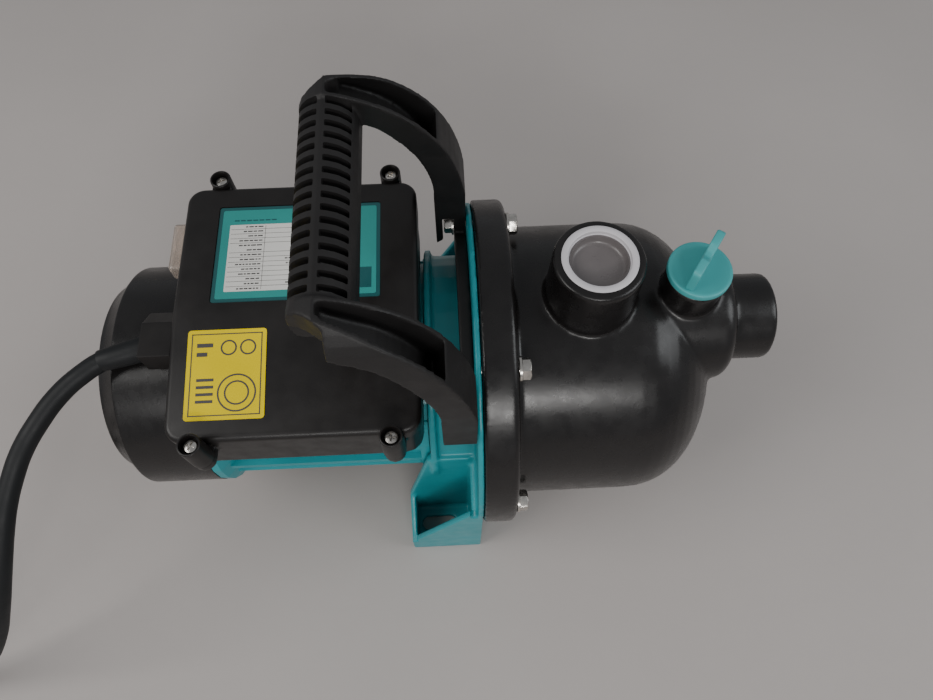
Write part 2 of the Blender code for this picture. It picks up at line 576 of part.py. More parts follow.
def build_motor_housing():
    shaft = along_x()
    bore = arc(0, AXIS_Z, HOUSING_BORE_R, 0, 345, 23)
    housing = end_plate("motor_housing", housing_outline(), HOUSING_X0 + 6 * MM, HOUSING_X1, [bore])
    ring_bore = HOUSING_BORE_R + 1.5 * MM
    lip = turned("lip", [(ring_bore, HOUSING_X0), (COVER_R - COVER_WALL - GAP, HOUSING_X0),
                         (COVER_R - COVER_WALL - GAP, COVER_X1 + GAP), (COVER_R, COVER_X1 + GAP),
                         (COVER_R, COVER_X1 + 4.5 * MM), (HOUSING_R, COVER_X1 + 11 * MM),
                         (ring_bore, COVER_X1 + 11 * MM)], shaft, 30)
    front = tube("front", ring_bore, FIN_R + 1.6 * MM, HOUSING_X1 - 5 * MM, HOUSING_X1 - 0.2 * MM, shaft, 30)
    # the saddle under the terminal box is a true cylinder, so the lip and the front ring stop below it
    saddle = tube("saddle", FIN_R + 0.4 * MM, 80 * MM, BOX_X0 - 0.6 * MM, HOUSING_X1 + 4 * MM, shaft, 32)
    above = block("above", (-140 * MM, -70 * MM, 132 * MM), (10 * MM, 70 * MM, 200 * MM))
    saddle = combine(saddle, [above], "INTERSECT")
    paint(cut(join(housing, lip, front), saddle), TEAL)


def build_stator():
    notch = 2.5 * MM
    outer = []
    for quarter in range(4):
        middle = 45 + 90 * quarter
        outer += arc(0, AXIS_Z, STATOR_R, middle - 84, middle - 6, 5)
        angle = math.radians(middle)
        outer += arc(TIE_R * math.cos(angle), AXIS_Z + TIE_R * math.sin(angle), notch,
                     middle - 90, middle - 270, 4)
    bore = []
    for i in range(STATOR_SLOTS):
        step = 360 / STATOR_SLOTS
        for offset, radius in ((-0.5, STATOR_BORE_R), (-0.26, STATOR_BORE_R), (-0.26, 41 * MM),
                               (0.26, 41 * MM),
                               (0.26, STATOR_BORE_R)):
            bore.append(round_shaft(radius, (i + offset) * step))
    paint(end_plate("stator_core", outer, STATOR_X0, STATOR_X1, [bore]), IRON)

    shaft = along_x()
    ends = []
    for name, low, high in (("stator_winding", -105.0 * MM, STATOR_X0 - GAP),
                            ("front_turns", STATOR_X1 + GAP, -15.0 * MM)):
        soft = 2.5 * MM
        ends.append(turned(name, [(30.0 * MM, low + soft), (32.0 * MM, low), (42.0 * MM, low),
                                  (44.0 * MM, low + soft), (44.0 * MM, high - soft / 2), (42.0 * MM, high),
                                  (30.0 * MM, high)], shaft, 18))
    sides = []
    for i in range(STATOR_SLOTS):
        side = block("side", (STATOR_X0 - 3 * MM, 30.6 * MM, -2.4 * MM),
                     (STATOR_X1 + 3 * MM, 40.4 * MM, 2.4 * MM))
        turn = Matrix.Rotation(math.tau * i / STATOR_SLOTS, 4, "X")
        side.data.transform(Matrix.Translation((0, 0, AXIS_Z)) @ turn)
        sides.append(side)
    paint(join(ends[0], ends[1], *sides), COPPER)


def build_rotor():
    shaft = along_x()
    step = SHAFT_R - GAP
    front, back = FRONT_BEARING_X, REAR_BEARING_X
    half = BEARING_WIDTH / 2
    profile = [(0.0, -153.0 * MM), (5.0 * MM, -153.0 * MM), (5.0 * MM, back - half - 3 * MM),
               (JOURNAL_R - GAP, back - half - 3 * MM), (JOURNAL_R - GAP, back + half + GAP), (step + 1 * MM,
                       back + half + GAP),
               (step + 1 * MM, -97.0 * MM), (step, -97.0 * MM), (step, -20.0 * MM), (step + 1 * MM,
                       -20.0 * MM),
               (step + 1 * MM, front - half - GAP), (JOURNAL_R - GAP, front - half - GAP), (JOURNAL_R - GAP,
                       40.3 * MM),
               (JOURNAL_R - 1.5 * MM, 40.3 * MM), (JOURNAL_R - 1.5 * MM, 55.9 * MM), (4.0 * MM, 55.9 * MM),
               (4.0 * MM, 64.0 * MM), (0.0, 64.0 * MM)]
    paint(turned("shaft", profile, shaft, 16, False), STEEL)
    core = turned("rotor_core", [(SHAFT_R, -96.5 * MM), (25.0 * MM, -96.5 * MM), (25.0 * MM, STATOR_X0),
                                 (ROTOR_R, STATOR_X0), (ROTOR_R, STATOR_X1), (25.0 * MM, STATOR_X1),
                                 (25.0 * MM, -20.5 * MM), (SHAFT_R, -20.5 * MM)], shaft, 24)
    paint(core, IRON)
    for name, middle in (("front_bearing", front), ("rear_bearing", back)):
        low, high = middle - half, middle + half
        paint(turned(name + "_inner", [(JOURNAL_R, low), (10.6 * MM, low), (9.9 * MM, middle),
                                       (10.6 * MM, high), (JOURNAL_R, high)], shaft, 16), STEEL)
        paint(turned(name + "_outer", [(BEARING_R, low), (BEARING_R, high), (10.9 * MM, high),
                                       (10.9 * MM, high - 1 * MM), (14.8 * MM, middle), (10.9 * MM,
                                               low + 1 * MM),
                                       (10.9 * MM, low)], shaft, 20), STEEL)


def build_end_shield():
    shaft = along_x()
    seat_r, hub_r = BEARING_R + GAP, 22.0 * MM
    face = -123.0 * MM
    bearing_low = REAR_BEARING_X - BEARING_WIDTH / 2
    shield = turned("rear_end_shield", [(12.0 * MM, face), (50.4 * MM, face), (50.4 * MM, face + 9 * MM),
                                        (47.0 * MM, face + 9 * MM), (46.0 * MM, face + 3.2 * MM),
                                        (hub_r + 1 * MM, face + 3.2 * MM), (hub_r, REAR_BEARING_X + 5.8 * MM),
                                        (seat_r, REAR_BEARING_X + 5.8 * MM), (seat_r, bearing_low - GAP),
                                        (12.0 * MM, bearing_low - GAP)], shaft, 24)
    holes = []
    bolt_r = 2.0 * MM
    head_x = face - 3.4 * MM
    for quarter in range(4):
        y, z = on_circle(TIE_R, math.radians(45 + 90 * quarter))
        holes.append(rod("hole", bolt_r + GAP, face - 5 * MM, face + 20 * MM, along_x(y, z), 8))
        bolt = turned(f"tie_bolt_{quarter + 1}", [(0.0, head_x), (3.5 * MM, head_x), (3.5 * MM, face - GAP),
                                                 (bolt_r, face - GAP), (bolt_r, 14.0 * MM), (0.0, 14.0 * MM)],
                      along_x(y, z), 8, False)
        paint(bolt, STEEL)
    paint(cut(shield, *holes), ALUMINIUM)


def build_fan():
    shaft = along_x()
    hub = tube("fan", 5.3 * MM, 13.0 * MM, -151.0 * MM, -131.0 * MM, shaft, 20)
    web = tube("web", 12.0 * MM, 50.0 * MM, -135.0 * MM, -133.0 * MM, shaft, 28)
    blades = []
    for i in range(7):
        blade = block("blade", (-150.0 * MM, 11.4 * MM, -0.9 * MM), (-134.2 * MM, 49.2 * MM, 0.9 * MM))
        turn = Matrix.Rotation(math.tau * i / 7 + 0.07, 4, "X")
        blade.data.transform(Matrix.Translation((0, 0, AXIS_Z)) @ turn)
        blades.append(blade)
    paint(join(hub, web, *blades), NORYL)


def build_fan_cover():
    shaft = along_x()
    w, r = COVER_WALL, COVER_R
    rim_x, face_r = X_REAR + 11.5 * MM, 48.0 * MM
    outer = [(r, COVER_X1), (r, rim_x + 1.5 * MM), (r - 0.6 * MM, rim_x)]
    outer += [(r - 8.5 * MM, X_REAR + 2.4 * MM), (face_r, X_REAR)]
    inner = [(face_r - 1 * MM, X_REAR + w), (r - w - 6.5 * MM, X_REAR + 5.2 * MM), (r - w, rim_x + 2 * MM),
             (r - w, COVER_X1)]
    cover = turned("fan_cover", outer + [(0.0, X_REAR), (0.0, X_REAR + w)] + inner, shaft, 32)
    slots = []
    for ring, (low, high) in enumerate(((13.0, 27.0), (31.0, 45.0))):
        count = 6 + 4 * ring
        for i in range(count):
            slot = block("slot", (X_REAR - 5 * MM, low * MM, -2 * MM), (X_REAR + 5 * MM, high * MM, 2 * MM))
            turn = Matrix.Rotation(math.tau * (i + 0.5) / count, 4, "X")
            slot.data.transform(Matrix.Translation((0, 0, AXIS_Z)) @ turn)
            slots.append(slot)
    paint(cut(cover, *slots), BLACK)


def build_rear_support():
    """A saddle leg under the fan cover's front edge, which holds the motor level."""
    x0, x1 = -112.0 * MM, -90.0 * MM
    reach, foot = 22.0 * MM, 30.0 * MM
    top = arc(0, AXIS_Z, FIN_R + 0.4 * MM, -90 + 25, -90 - 25, 10)
    outline = [(-foot, 0.0), (foot, 0.0), (foot, 7 * MM), (reach + 2 * MM, 14 * MM)] + top
    outline += [(-reach - 2 * MM, 14 * MM), (-foot, 7 * MM)]
    leg = end_plate("rear_support", outline, x0, x1)
    pocket = block("pocket", (x0 + 3 * MM, -16 * MM, 5 * MM), (x1 + 3 * MM, 16 * MM, 28 * MM))
    paint(cut(leg, pocket), BLACK)


# ---- terminal box ---------------------------------------------------------------------
def rounded_block(name, x0, x1, y0, y1, z0, z1, corner, count=3):
    """A box with its upright corners rounded."""
    outline = (arc(x1 - corner, y1 - corner, corner, 0, 90, count)
               + arc(x0 + corner, y1 - corner, corner, 90, 180, count)
               + arc(x0 + corner, y0 + corner, corner, 180, 270, count)
               + arc(x1 - corner, y0 + corner, corner, 270, 360, count))
    return plate(name, outline, z1 - z0, Matrix.Translation((0, 0, z0)))


def screw_places():
    return [(x, side * COVER_SCREW_Y) for side in (1, -1) for x in COVER_SCREW_X]


def screw_ear(x, y, radius, low, high):
    """A round ear outside the box wall, reaching back into it."""
    side = 1 if y > 0 else -1
    root = side * (BOX_Y - 2.0 * MM)
    outline = arc(x, y, radius, 0, side * 180, 6) + [(x - radius, root), (x + radius, root)]
    return plate("ear", outline, high - low, Matrix.Translation((0, 0, low)))


def build_terminal_box():
    shaft = along_x()
    w = BOX_WALL
    base = rounded_block("terminal_box_base", BOX_X0, BOX_X1, -BOX_Y, BOX_Y, BOX_Z0, SEAM_Z - GAP / 2, 9 * MM)
    ears = [screw_ear(x, y, COVER_EAR_R - 0.2 * MM, 159 * MM, SEAM_Z - GAP / 2) for x, y in screw_places()]
    base = join(base, *ears)
    inside = rounded_block("inside", BOX_X0 + w, BOX_X1 - w, -BOX_Y + w, BOX_Y - w, BOX_Z0 + w, 200 * MM,
                           7 * MM)
    inside = cut(inside, rod("floor", FIN_R + 0.9 * MM + w, -160 * MM, 40 * MM, shaft, 40))
    saddle = rod("saddle", FIN_R + 0.9 * MM, -160 * MM, 40 * MM, shaft, 40)
    gland_hole = rod("gland_hole", 5.0 * MM, -130 * MM, -110 * MM, along_x(GLAND_Y, GLAND_Z), 12)
    switch_hole = block("switch_hole", (-130 * MM, 33.2 * MM, 155.2 * MM), (-110 * MM, 52.8 * MM, 162.2 * MM))
    wire_hole = rod("wire_hole", 7 * MM, 140 * MM, 170 * MM, along_z(-64 * MM, 0), 16)
    pilots = [rod("pilot", 1.9 * MM, 150 * MM, 170 * MM, along_z(x, y), 8) for x, y in screw_places()]
    base = cut(base, saddle, inside, gland_hole, switch_hole, wire_hole, *pilots)
    paint(base, BLACK)

    lid_x0, lid_x1, lid_y = BOX_X0 - 0.8 * MM, BOX_X1 + 0.6 * MM, BOX_Y + 0.6 * MM
    lid = block("terminal_box_cover", (lid_x0, -lid_y, SEAM_Z + GAP / 2), (lid_x1, lid_y, BOX_TOP))
    lid = round_lid(cut(lid, slope_wedge(0)), 8.5 * MM, 3.5 * MM)
    ears = [screw_ear(x, y, COVER_EAR_R, SEAM_Z + GAP / 2, COVER_SCREW_Z + 2.6 * MM) for x,
            y in screw_places()]
    lid = join(lid, *ears)
    hollow = rounded_block("hollow", lid_x0 + w, lid_x1 - w, -lid_y + w, lid_y - w, SEAM_Z - 5 * MM,
                           BOX_TOP - w, 6 * MM)
    hollow = cut(hollow, slope_wedge(w))
    label = rounded_block("label", -107.5 * MM, -25.5 * MM, -1.0 * MM, 54.6 * MM, BOX_TOP - 0.6 * MM,
                          BOX_TOP + 5 * MM, 1.5 * MM, 2)
    heads = [rod("head", COVER_HEAD_R + 0.9 * MM, COVER_SCREW_Z - 1.8 * MM, 200 * MM, along_z(x, y), 12)
             for x, y in screw_places()]
    shanks = [rod("shank", 2.2 * MM, 150 * MM, 200 * MM, along_z(x, y), 8) for x, y in screw_places()]
    gland_hole = rod("gland_hole", 5.0 * MM, -130 * MM, -110 * MM, along_x(GLAND_Y, GLAND_Z), 12)
    lid = cut(lid, hollow, label, gland_hole, *heads, *shanks)
    paint(lid, BLACK)

    seal_low = SEAM_Z - 3.0 * MM
    outer = rounded_block("box_gasket", BOX_X0 + w + GAP, BOX_X1 - w - GAP, -BOX_Y + w + GAP, BOX_Y - w - GAP,
                          seal_low, SEAM_Z + 1.4 * MM, 7 * MM)
    inner = rounded_block("inner", BOX_X0 + w + 2.4 * MM, BOX_X1 - w - 2.4 * MM, -BOX_Y + w + 2.4 * MM,
                          BOX_Y - w - 2.4 * MM, seal_low - 2 * MM, SEAM_Z + 5 * MM, 5.5 * MM)
    paint(cut(outer, inner), RUBBER)

    for i, (x, y) in enumerate(screw_places()):
        head_z = COVER_SCREW_Z - 1.8 * MM + GAP
        screw = turned(f"cover_screw_{i + 1}", [(0.0, 155 * MM), (1.6 * MM, 155 * MM), (1.6 * MM, head_z),
                                               (COVER_HEAD_R, head_z), (COVER_HEAD_R, head_z + 1.0 * MM),
                                               (2.2 * MM, head_z + 1.9 * MM), (0.0, head_z + 2.1 * MM)],
                       along_z(x, y), 10, False)
        arms = []
        for turn in (0, 90):
            arm = block("arm", (-1.8 * MM, -0.4 * MM, 0), (1.8 * MM, 0.4 * MM, 3 * MM))
            arm.data.transform(Matrix.Translation((x, y, head_z + 0.9 * MM))
                               @ Matrix.Rotation(math.radians(turn + 20 * i), 4, "Z"))
            arms.append(arm)
        paint(cut(screw, *arms), STEEL)


def slope_wedge(drop):
    """What lies over the lid's sloping near half, lowered by a drop."""
    run = 75 * MM
    crease, far = BOX_TOP - drop, BOX_TOP - drop - run * math.tan(LID_SLOPE)
    outline = [(LID_CREASE_Y, crease), (LID_CREASE_Y, crease + 30 * MM),
               (LID_CREASE_Y - run, crease + 30 * MM),
               (LID_CREASE_Y - run, far)]
    return end_plate("wedge", outline, -150 * MM, 20 * MM)


def round_lid(lid, corner, edge):
    """Round the lid's upright corners, then its top edge."""
    work = bmesh.new()
    work.from_mesh(lid.data)
    upright = [e for e in work.edges if abs(e.verts[0].co.z - e.verts[1].co.z) > edge]
    bmesh.ops.bevel(work, geom=upright, offset=corner, segments=3, profile=0.5, affect="EDGES")
    work.normal_update()
    rim = [e for e in work.edges if sum(f.normal.z > 0.5 for f in e.link_faces) == 1]
    bmesh.ops.bevel(work, geom=rim, offset=edge, segments=2, profile=0.5, affect="EDGES")
    work.to_mesh(lid.data)
    work.free()
    return lid


def build_box_contents():
    paint(rod("capacitor", 13.5 * MM, -92 * MM, -34 * MM, along_x(44 * MM, 161.5 * MM), 20), LIGHT)
    row = block("terminal_block", (-92 * MM, -52 * MM, 150 * MM), (-50 * MM, -38 * MM, 164 * MM), 1 * MM, 1)
    ports = [rod("port", 2.4 * MM, 156 * MM, 170 * MM, along_z((-87 + 8 * i) * MM, -45 * MM),
                 8) for i in range(5)]
    paint(cut(row, *ports), LIGHT)

    switch = block("switch_body", (-124.9 * MM, 33.5 * MM, 155.5 * MM), (-107 * MM, 52.5 * MM, 161.9 * MM))
    frame = block("frame", (-126.7 * MM, 32.3 * MM, 154.4 * MM), (-124.3 * MM, 53.7 * MM, 163.0 * MM))
    switch = join(switch, frame)
    well = block("well", (-132.5 * MM, 34.7 * MM, 156.5 * MM), (-116.5 * MM, 51.3 * MM, 160.9 * MM))
    paint(cut(switch, well), MATT)

    pivot_x, pivot_y = -124.5 * MM, 43.0 * MM
    tilt = math.radians(-10)
    outline = [(5 * MM, -7.4 * MM), (5 * MM, 7.4 * MM), (-3.4 * MM, 7.6 * MM), (-2.2 * MM, 0.0),
               (-3.4 * MM, -7.6 * MM)]
    rocker = plate("switch_rocker", outline, 3.8 * MM, Matrix.Translation((0, 0, 156.8 * MM)))
    rocker.data.transform(Matrix.Translation((pivot_x, pivot_y, 0)) @ Matrix.Rotation(tilt, 4, "Z"))
    paint(rocker, MATT)

    boot = block("switch_boot", (-138.2 * MM, 29.8 * MM, 152.8 * MM), (-124.5 * MM, 58.5 * MM, 164.6 * MM),
                 2 * MM, 2)
    hollow = block("hollow", (-137.0 * MM, 31.0 * MM, 153.9 * MM), (-112 * MM, 57.3 * MM, 163.5 * MM))
    paint(cut(boot, hollow), CLEAR)

    # the gland's top falls away on the far side; its shank passes through the box wall
    z0, z1 = 161.0 * MM, 176.0 * MM
    section = [(-25 * MM, z0), (2 * MM, z0), (2 * MM, z0 + 8 * MM), (-7 * MM, z1), (-25 * MM, z1)]
    gland = end_plate("cable_gland", section, GLAND_X, BOX_X0 - 1.1 * MM)
    shank = rod("shank", 4.5 * MM, GLAND_X + 5 * MM, BOX_X0 + 2.2 * MM, along_x(GLAND_Y, GLAND_Z), 12)
    paint(join(gland, shank), MATT)


# ---- handle ---------------------------------------------------------------------------
def bezier(p0, p1, p2, p3, count):
    points = []
    for i in range(count + 1):
        t = i / count
        weights = ((1 - t) ** 3, 3 * t * (1 - t) ** 2, 3 * t * t * (1 - t), t ** 3)
        points.append(tuple(sum(w * p[k] for w, p in zip(weights, (p0, p1, p2, p3))) for k in (0, 1)))
    return points


def scaled(points):
    return [(x * MM, z * MM) for x, z in points]


def arm_outline():
    """The arm from the side: grip corner, outer sweep, foot and inner sweep, tapered towards the grip."""
    corner = [(-48.5, 260.5), (-47.0, 262), (-43, 264.8)]
    outer = bezier(*OUTER_CURVE, 8)
    foot = [(ARM_X1, ARM_FOOT_Z), (ARM_PLATE_X, ARM_FOOT_Z), (ARM_PLATE_X, 158), (ARM_X0, 150)]
    return scaled(corner + outer + foot + bezier(*INNER_CURVE, 6) + [(-37, 252.5)])


def leg(side, inset, low, high):
    """One arm seen along the shaft, drawn in by an inset: it leans outwards below the grip."""
    inner = [(ARM_INSIDE[0][0], low), *ARM_INSIDE, (45.5, high)]
    outer = [(ARM_OUTSIDE[0][0], low), *ARM_OUTSIDE, (52, high)]
    outline = [(side * (y + inset), z) for y, z in inner] + [(side * (y - inset), z) for y,
                                                             z in reversed(outer)]
    return end_plate("leg", scaled(outline), -60 * MM, 30 * MM)


def corner_cut(side, wall):
    """What the rounded corner between grip and arm leaves out, grown by a wall."""
    outline = [(x + wall * (x > -50), side * (y - wall * (y < 80))) for x, y in CORNER_CUT]
    return plate("corner", scaled(outline), 95 * MM, Matrix.Translation((0, 0, 200 * MM)))


def grip_section():
    return scaled([(-51.8, 245), (-51.4, 254), (-50, 259), (-47, 261.8), (-42, 263.8), (-38.5, 263.8),
                   (-33, 261.6),
                   (-28.8, 257.6), (-26.6, 251), (-26.8, 243), (-28.5, 239.6), (-31, 238.2), (-47,
                           238.2), (-50.8, 240.5)])


def build_handle():
    shaft = along_x()
    beyond = 80 * MM
    arms, hollows, holes = [], [], []
    for side in (-1, 1):
        low, high = sorted((side * 40 * MM, side * beyond))
        arm = side_plate("arm", arm_outline(), low, high)
        arms.append(combine(arm, [leg(side, 0, 120, 270)], "INTERSECT"))
        floor = [(x, z + 2.8) for x, z in bezier(*INNER_CURVE, 6)][2:]
        trough = [(-39, 280)] + [(x, z + 12) for x, z in bezier(*OUTER_CURVE, 8)][1:5]
        upper = side_plate("upper_pocket", scaled(trough + [(6.0, 236)] + floor + [(-37, 255.6),
                (-39, 257.5)]), low, high)
        upper = combine(upper, [leg(side, ARM_WALL / MM, 120, 290)], "INTERSECT")
        hollows.append(cut(upper, corner_cut(side, ARM_WALL / MM)))
        foot = side_plate("foot_pocket", scaled([(-4, 120), (11.5, 120), (11.5, 190), (9, 204), (5.5, 207),
                                                 (-4, 196)]),
                          low, high)
        hollows.append(combine(foot, [leg(side, ARM_WALL / MM, 110, 270)], "INTERSECT"))
        low, high = sorted((side * (ARM_Y0 - 3 * MM), side * (ARM_LOW_Y0 + ARM_WALL + 1 * MM)))
        holes.append(side_plate("screw_way", scaled([(5.5, 125), (11.3, 125), (11.3, 172), (5.5, 172)]), low,
                                high))
        low, high = sorted((side * 60 * MM, side * beyond))
        holes.append(block("foot_trim", (-10 * MM, low, 110 * MM), (ARM_X1 * MM + 5 * MM, high, ARM_END_Z)))
        holes.append(rod("screw_hole", 2.8 * MM, 9 * MM, 30 * MM,
                         along_x(side * HANDLE_SCREW_Y, HANDLE_SCREW_Z), 12))
        holes.append(corner_cut(side, 0))
    grip = side_plate("handle", grip_section(), -ARM_Y0 - 3.5 * MM, ARM_Y0 + 3.5 * MM)
    yoke = [round_shaft(YOKE_R1, turn) for turn in range(40, 141, 10)]
    yoke += [round_shaft(YOKE_R0, turn) for turn in range(140, 39, -10)]
    yoke = end_plate("yoke", yoke, ARM_PLATE_X * MM, ARM_X1 * MM)
    neck = rod("neck_clear", NECK_R + 1.0 * MM, -3 * MM, 30 * MM, shaft, 40)
    paint(cut(join(grip, *arms, yoke), neck, *hollows, *holes), MATT)

    for i, side in enumerate((-1, 1)):
        frame = along_x(side * HANDLE_SCREW_Y, HANDLE_SCREW_Z)
        base = 11.5 * MM - GAP
        screw = turned(f"handle_screw_{i + 1}", [(0.0, base - 1.3 * MM), (5.6 * MM, base - 1.3 * MM),
                                                (5.6 * MM, base), (2.4 * MM, base), (2.4 * MM, DISC_X1),
                                                (0.0, DISC_X1)], frame, 10, False)
        head = plate("head", hexagon(4.7 * MM), 4.4 * MM, frame @ Matrix.Translation((0, 0, base - 5.3 * MM)))
        paint(join(screw, head), STEEL)


# ---- cord -----------------------------------------------------------------------------
def smooth_route(points, spacing):
    """Points about a spacing apart on the smooth curve through a route's own points."""
    curve = []
    ends = [points[0], *points, points[-1]]
    for a, b, c, d in zip(ends, ends[1:], ends[2:], ends[3:]):
        count = max(1, round((Vector(c) - Vector(b)).length / spacing))
        for i in range(count):
            t = i / count
            curve.append([0.5 * (2 * q + (r - p) * t + (2 * p - 5 * q + 4 * r - s) * t * t
                                 + (3 * q - p - 3 * r + s) * t ** 3)
                          for p, q, r, s in zip(a, b, c, d)])
    curve.append(list(points[-1]))
    return curve


def build_cord():
    curve = bpy.data.curves.new("power_cord", "CURVE")
    curve.dimensions = "3D"
    curve.bevel_depth = CORD_D / 2
    curve.bevel_resolution = 1
    curve.use_fill_caps = True
    points = smooth_route(CORD_ROUTE, 16)
    spline = curve.splines.new("POLY")
    spline.points.add(len(points) - 1)
    for point, (x, y, z) in zip(spline.points, points):
        point.co = (x * MM, y * MM, z * MM, 1)
    cord = bpy.data.objects.new("power_cord", curve)
    pump.objects.link(cord)
    paint(settle(cord), CORD)

    frame = along_z(COIL_X, COIL_Y)
    coil = tube("cord_coil", COIL_R0, COIL_R1, GAP, COIL_HIGH, frame, 32)
    tail = rod("tail", CORD_D / 2, COIL_Y, PLUG_Y0 - GAP, along_y(TAIL_X, TAIL_Z), 12)
    paint(join(coil, tail), CORD)

    r = MAINS_PLUG_R
    frame = along_y(TAIL_X, r)
    plug = turned("mains_plug", [(0.0, PLUG_Y0), (8.0 * MM, PLUG_Y0), (10.5 * MM, PLUG_Y0 + 12 * MM),
                                 (13.0 * MM, PLUG_Y0 + 22 * MM), (r - 1 * MM, PLUG_Y0 + 30 * MM),
                                 (r, PLUG_Y0 + 33 * MM), (r, PLUG_Y0 + 54 * MM), (r - 1.5 * MM,
                                         PLUG_Y0 + 56 * MM),
                                 (0.0, PLUG_Y0 + 56 * MM)], frame, 20, False)
    pins = [rod("pin", 2.4 * MM, PLUG_Y0 + 50 * MM, PLUG_Y0 + 75 * MM, along_y(TAIL_X + side * 9.5 * MM, r),
                12)
            for side in (-1, 1)]
    paint(join(plug, *pins), RUBBER)


build_pump_body()
build_flange_bolts()
build_plug("fill_plug", along_z(FILL_X), FILL_TOP, math.radians(55))
build_plug("drain_plug", along_x(0, DRAIN_Z), DRAIN_X1, math.radians(-35))
build_port_cap("outlet_cap", along_z(OUTLET_X), OUTLET_TOP)
build_port_cap("inlet_cap", along_x(0, NOSE_Z), X_INLET)
build_wet_end()
build_bracket()
build_motor_housing()
build_stator()
build_rotor()
build_end_shield()
build_fan()
build_fan_cover()
build_rear_support()
build_terminal_box()
build_box_contents()
build_handle()
build_cord()
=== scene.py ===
"""Looks of the shallow well jet pump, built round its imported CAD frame.  Metres, +Z up."""
import math
import random

import bmesh
import bpy
from mathutils import Matrix, Vector


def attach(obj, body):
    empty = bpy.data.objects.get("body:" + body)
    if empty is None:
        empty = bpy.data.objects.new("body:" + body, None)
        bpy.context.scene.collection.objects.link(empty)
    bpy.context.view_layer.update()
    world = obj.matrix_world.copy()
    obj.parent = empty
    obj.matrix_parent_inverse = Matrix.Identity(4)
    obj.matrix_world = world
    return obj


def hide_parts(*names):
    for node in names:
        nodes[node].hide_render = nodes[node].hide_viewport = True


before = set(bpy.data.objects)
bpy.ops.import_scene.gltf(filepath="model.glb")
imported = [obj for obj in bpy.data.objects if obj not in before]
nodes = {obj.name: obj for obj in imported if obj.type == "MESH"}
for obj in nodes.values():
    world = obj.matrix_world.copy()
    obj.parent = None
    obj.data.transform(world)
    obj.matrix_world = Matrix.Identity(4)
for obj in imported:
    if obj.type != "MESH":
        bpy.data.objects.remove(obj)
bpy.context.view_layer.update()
MM = 0.001
random.seed(7)

# ---- sizes shared with the CAD, in millimetres -------------------------------------------
AXIS_Z = 98.0
FLANGE_R, FLANGE_X0, FLANGE_X1 = 92.6, 21.2, 38.6
BODY_R, DOME_X0, DOME_DEPTH, DOME_POWER = 76.8, 100.0, 50.0, 2.3
NOSE_Z, NOSE_R, NOSE_X1, INLET_R, INLET_X = 142.0, 32.5, 151.0, 22.6, 173.8
OUTLET_X, OUTLET_Z, OUTLET_R, OUTLET_BASE_R = 76.5, 206.0, 21.6, 22.3
PORT_R = 16.0
FILL_X, FILL_Z, FILL_R = 126.0, 188.6, 14.4
DRAIN_X, DRAIN_Z, DRAIN_R = 152.0, 47.0, 13.0
PLUG_R, PLUG_DISC, PLUG_BORE_R = 15.3, 3.6, 9.6
WING_HALF, WING_TALL, WING_THICK = 14.3, 15.4, 4.1
FILL_WING_TURN, DRAIN_WING_TURN = math.radians(55), math.radians(-35)
BOLT_CIRCLE_R, BOLT_SHIFT, BOLT_HEX, BOLT_HEAD = 84.7, -3, 9.7, 4.4
ARM_SCREW_HEX, ARM_SCREW_HEAD = 8.1, 4.3
YOKE_R0, YOKE_R1, NECK_R, RECESS_R = 60, 78.5, 63.2, 80.4
COVER_X0, COVER_X1, COVER_R, COVER_WALL = -173.8, -124.5, 62.0, 2.4
SLOT_RINGS = ((6, 13.0, 27.0), (10, 31.0, 45.0))    # how many, from radius, to radius
LID_X0, LID_X1, LID_Y, LID_Z0, LID_Z1 = -124.8, -7.4, 67.0, 165.2, 182.0
LID_CORNER, LID_EDGE, LID_ROOF, CREASE_Y, LID_SLOPE = 8.5, 2.6, 2.6, -8.0, math.radians(8.5)
EAR_X, EAR_Y, EAR_R, EAR_TOP, ROOT_HALF = (-108.7, -20.7), 71.6, 5.5, 183.6, 4.6
LABEL_X0, LABEL_X1, LABEL_Y0, LABEL_Y1 = -107.5, -25.5, -1.0, 54.6
YELLOW_X0, YELLOW_X1, YELLOW_Y0, YELLOW_Y1 = -115.8, -79.0, -58.2, -15.0
TABLE_ROWS, BLANK_ROW, LABEL_DEPTH = 14, 9, 0.6
MARK_LOW, MARK_HIGH = 0.3, 0.34                     # above the face that carries the mark
ARM_Y0, ARM_LOW_Y0, ARM_WALL, ARM_END_Z = 45.5, 48.5, 2.2, 160.0
ARM_FOOT_Z, ARM_X0, ARM_PLATE_X, ARM_X1 = 130.0, 1.8, 11.5, 17.6
OUTER_CURVE = ((-40, 265.4), (-11.4, 258.2), (12, 236.9), (17.6, 192.6))
INNER_CURVE = ((1.8, 190), (4.2, 212.8), (-13, 240), (-26, 246))
CORNER_CUT = ((-60, 50.2), (-50.5, 50.2), (-47, 51.2), (-43.5, 53.2), (-37, 58.5), (-37, 85), (-60, 85))
ARM_OUTSIDE = ((70, 176), (71, 200), (70.6, 212), (69.8, 223), (68.2, 237), (66.6, 246), (65, 253),
               (63, 257.5), (60, 261.5), (57, 264.5))
ARM_INSIDE = ((48.5, 222), (47.5, 234), (46.5, 250.5), (45.7, 262))
GROOVES, GROOVE_PITCH, GROOVE_WIDTH, GROOVE_SHIFT = 16, 5.77, 3.1, 1.1
HANDLE_SCREW_Y, HANDLE_SCREW_Z = 52.5, 162.0
CORD_D, EXIT = 10.0, (-141.0, -16.5, 168.0)
CORD_ROUTE = (
    EXIT, (-159.5, -21.5, 167.5), (-171, -28.5, 166), (-182, -38, 163), (-191.5, -49.5, 158.5),
    (-199.5, -61, 153), (-205, -72.5, 147), (-209, -83.5, 141), (-212.5, -94.5, 133.5), (-218, -110, 120),
    (-227, -126, 100), (-240, -138, 76), (-257, -147, 52), (-277, -154, 31), (-299, -159, 16),
    (-320, -160.5, 8), (-343, -159, 5.2),
)
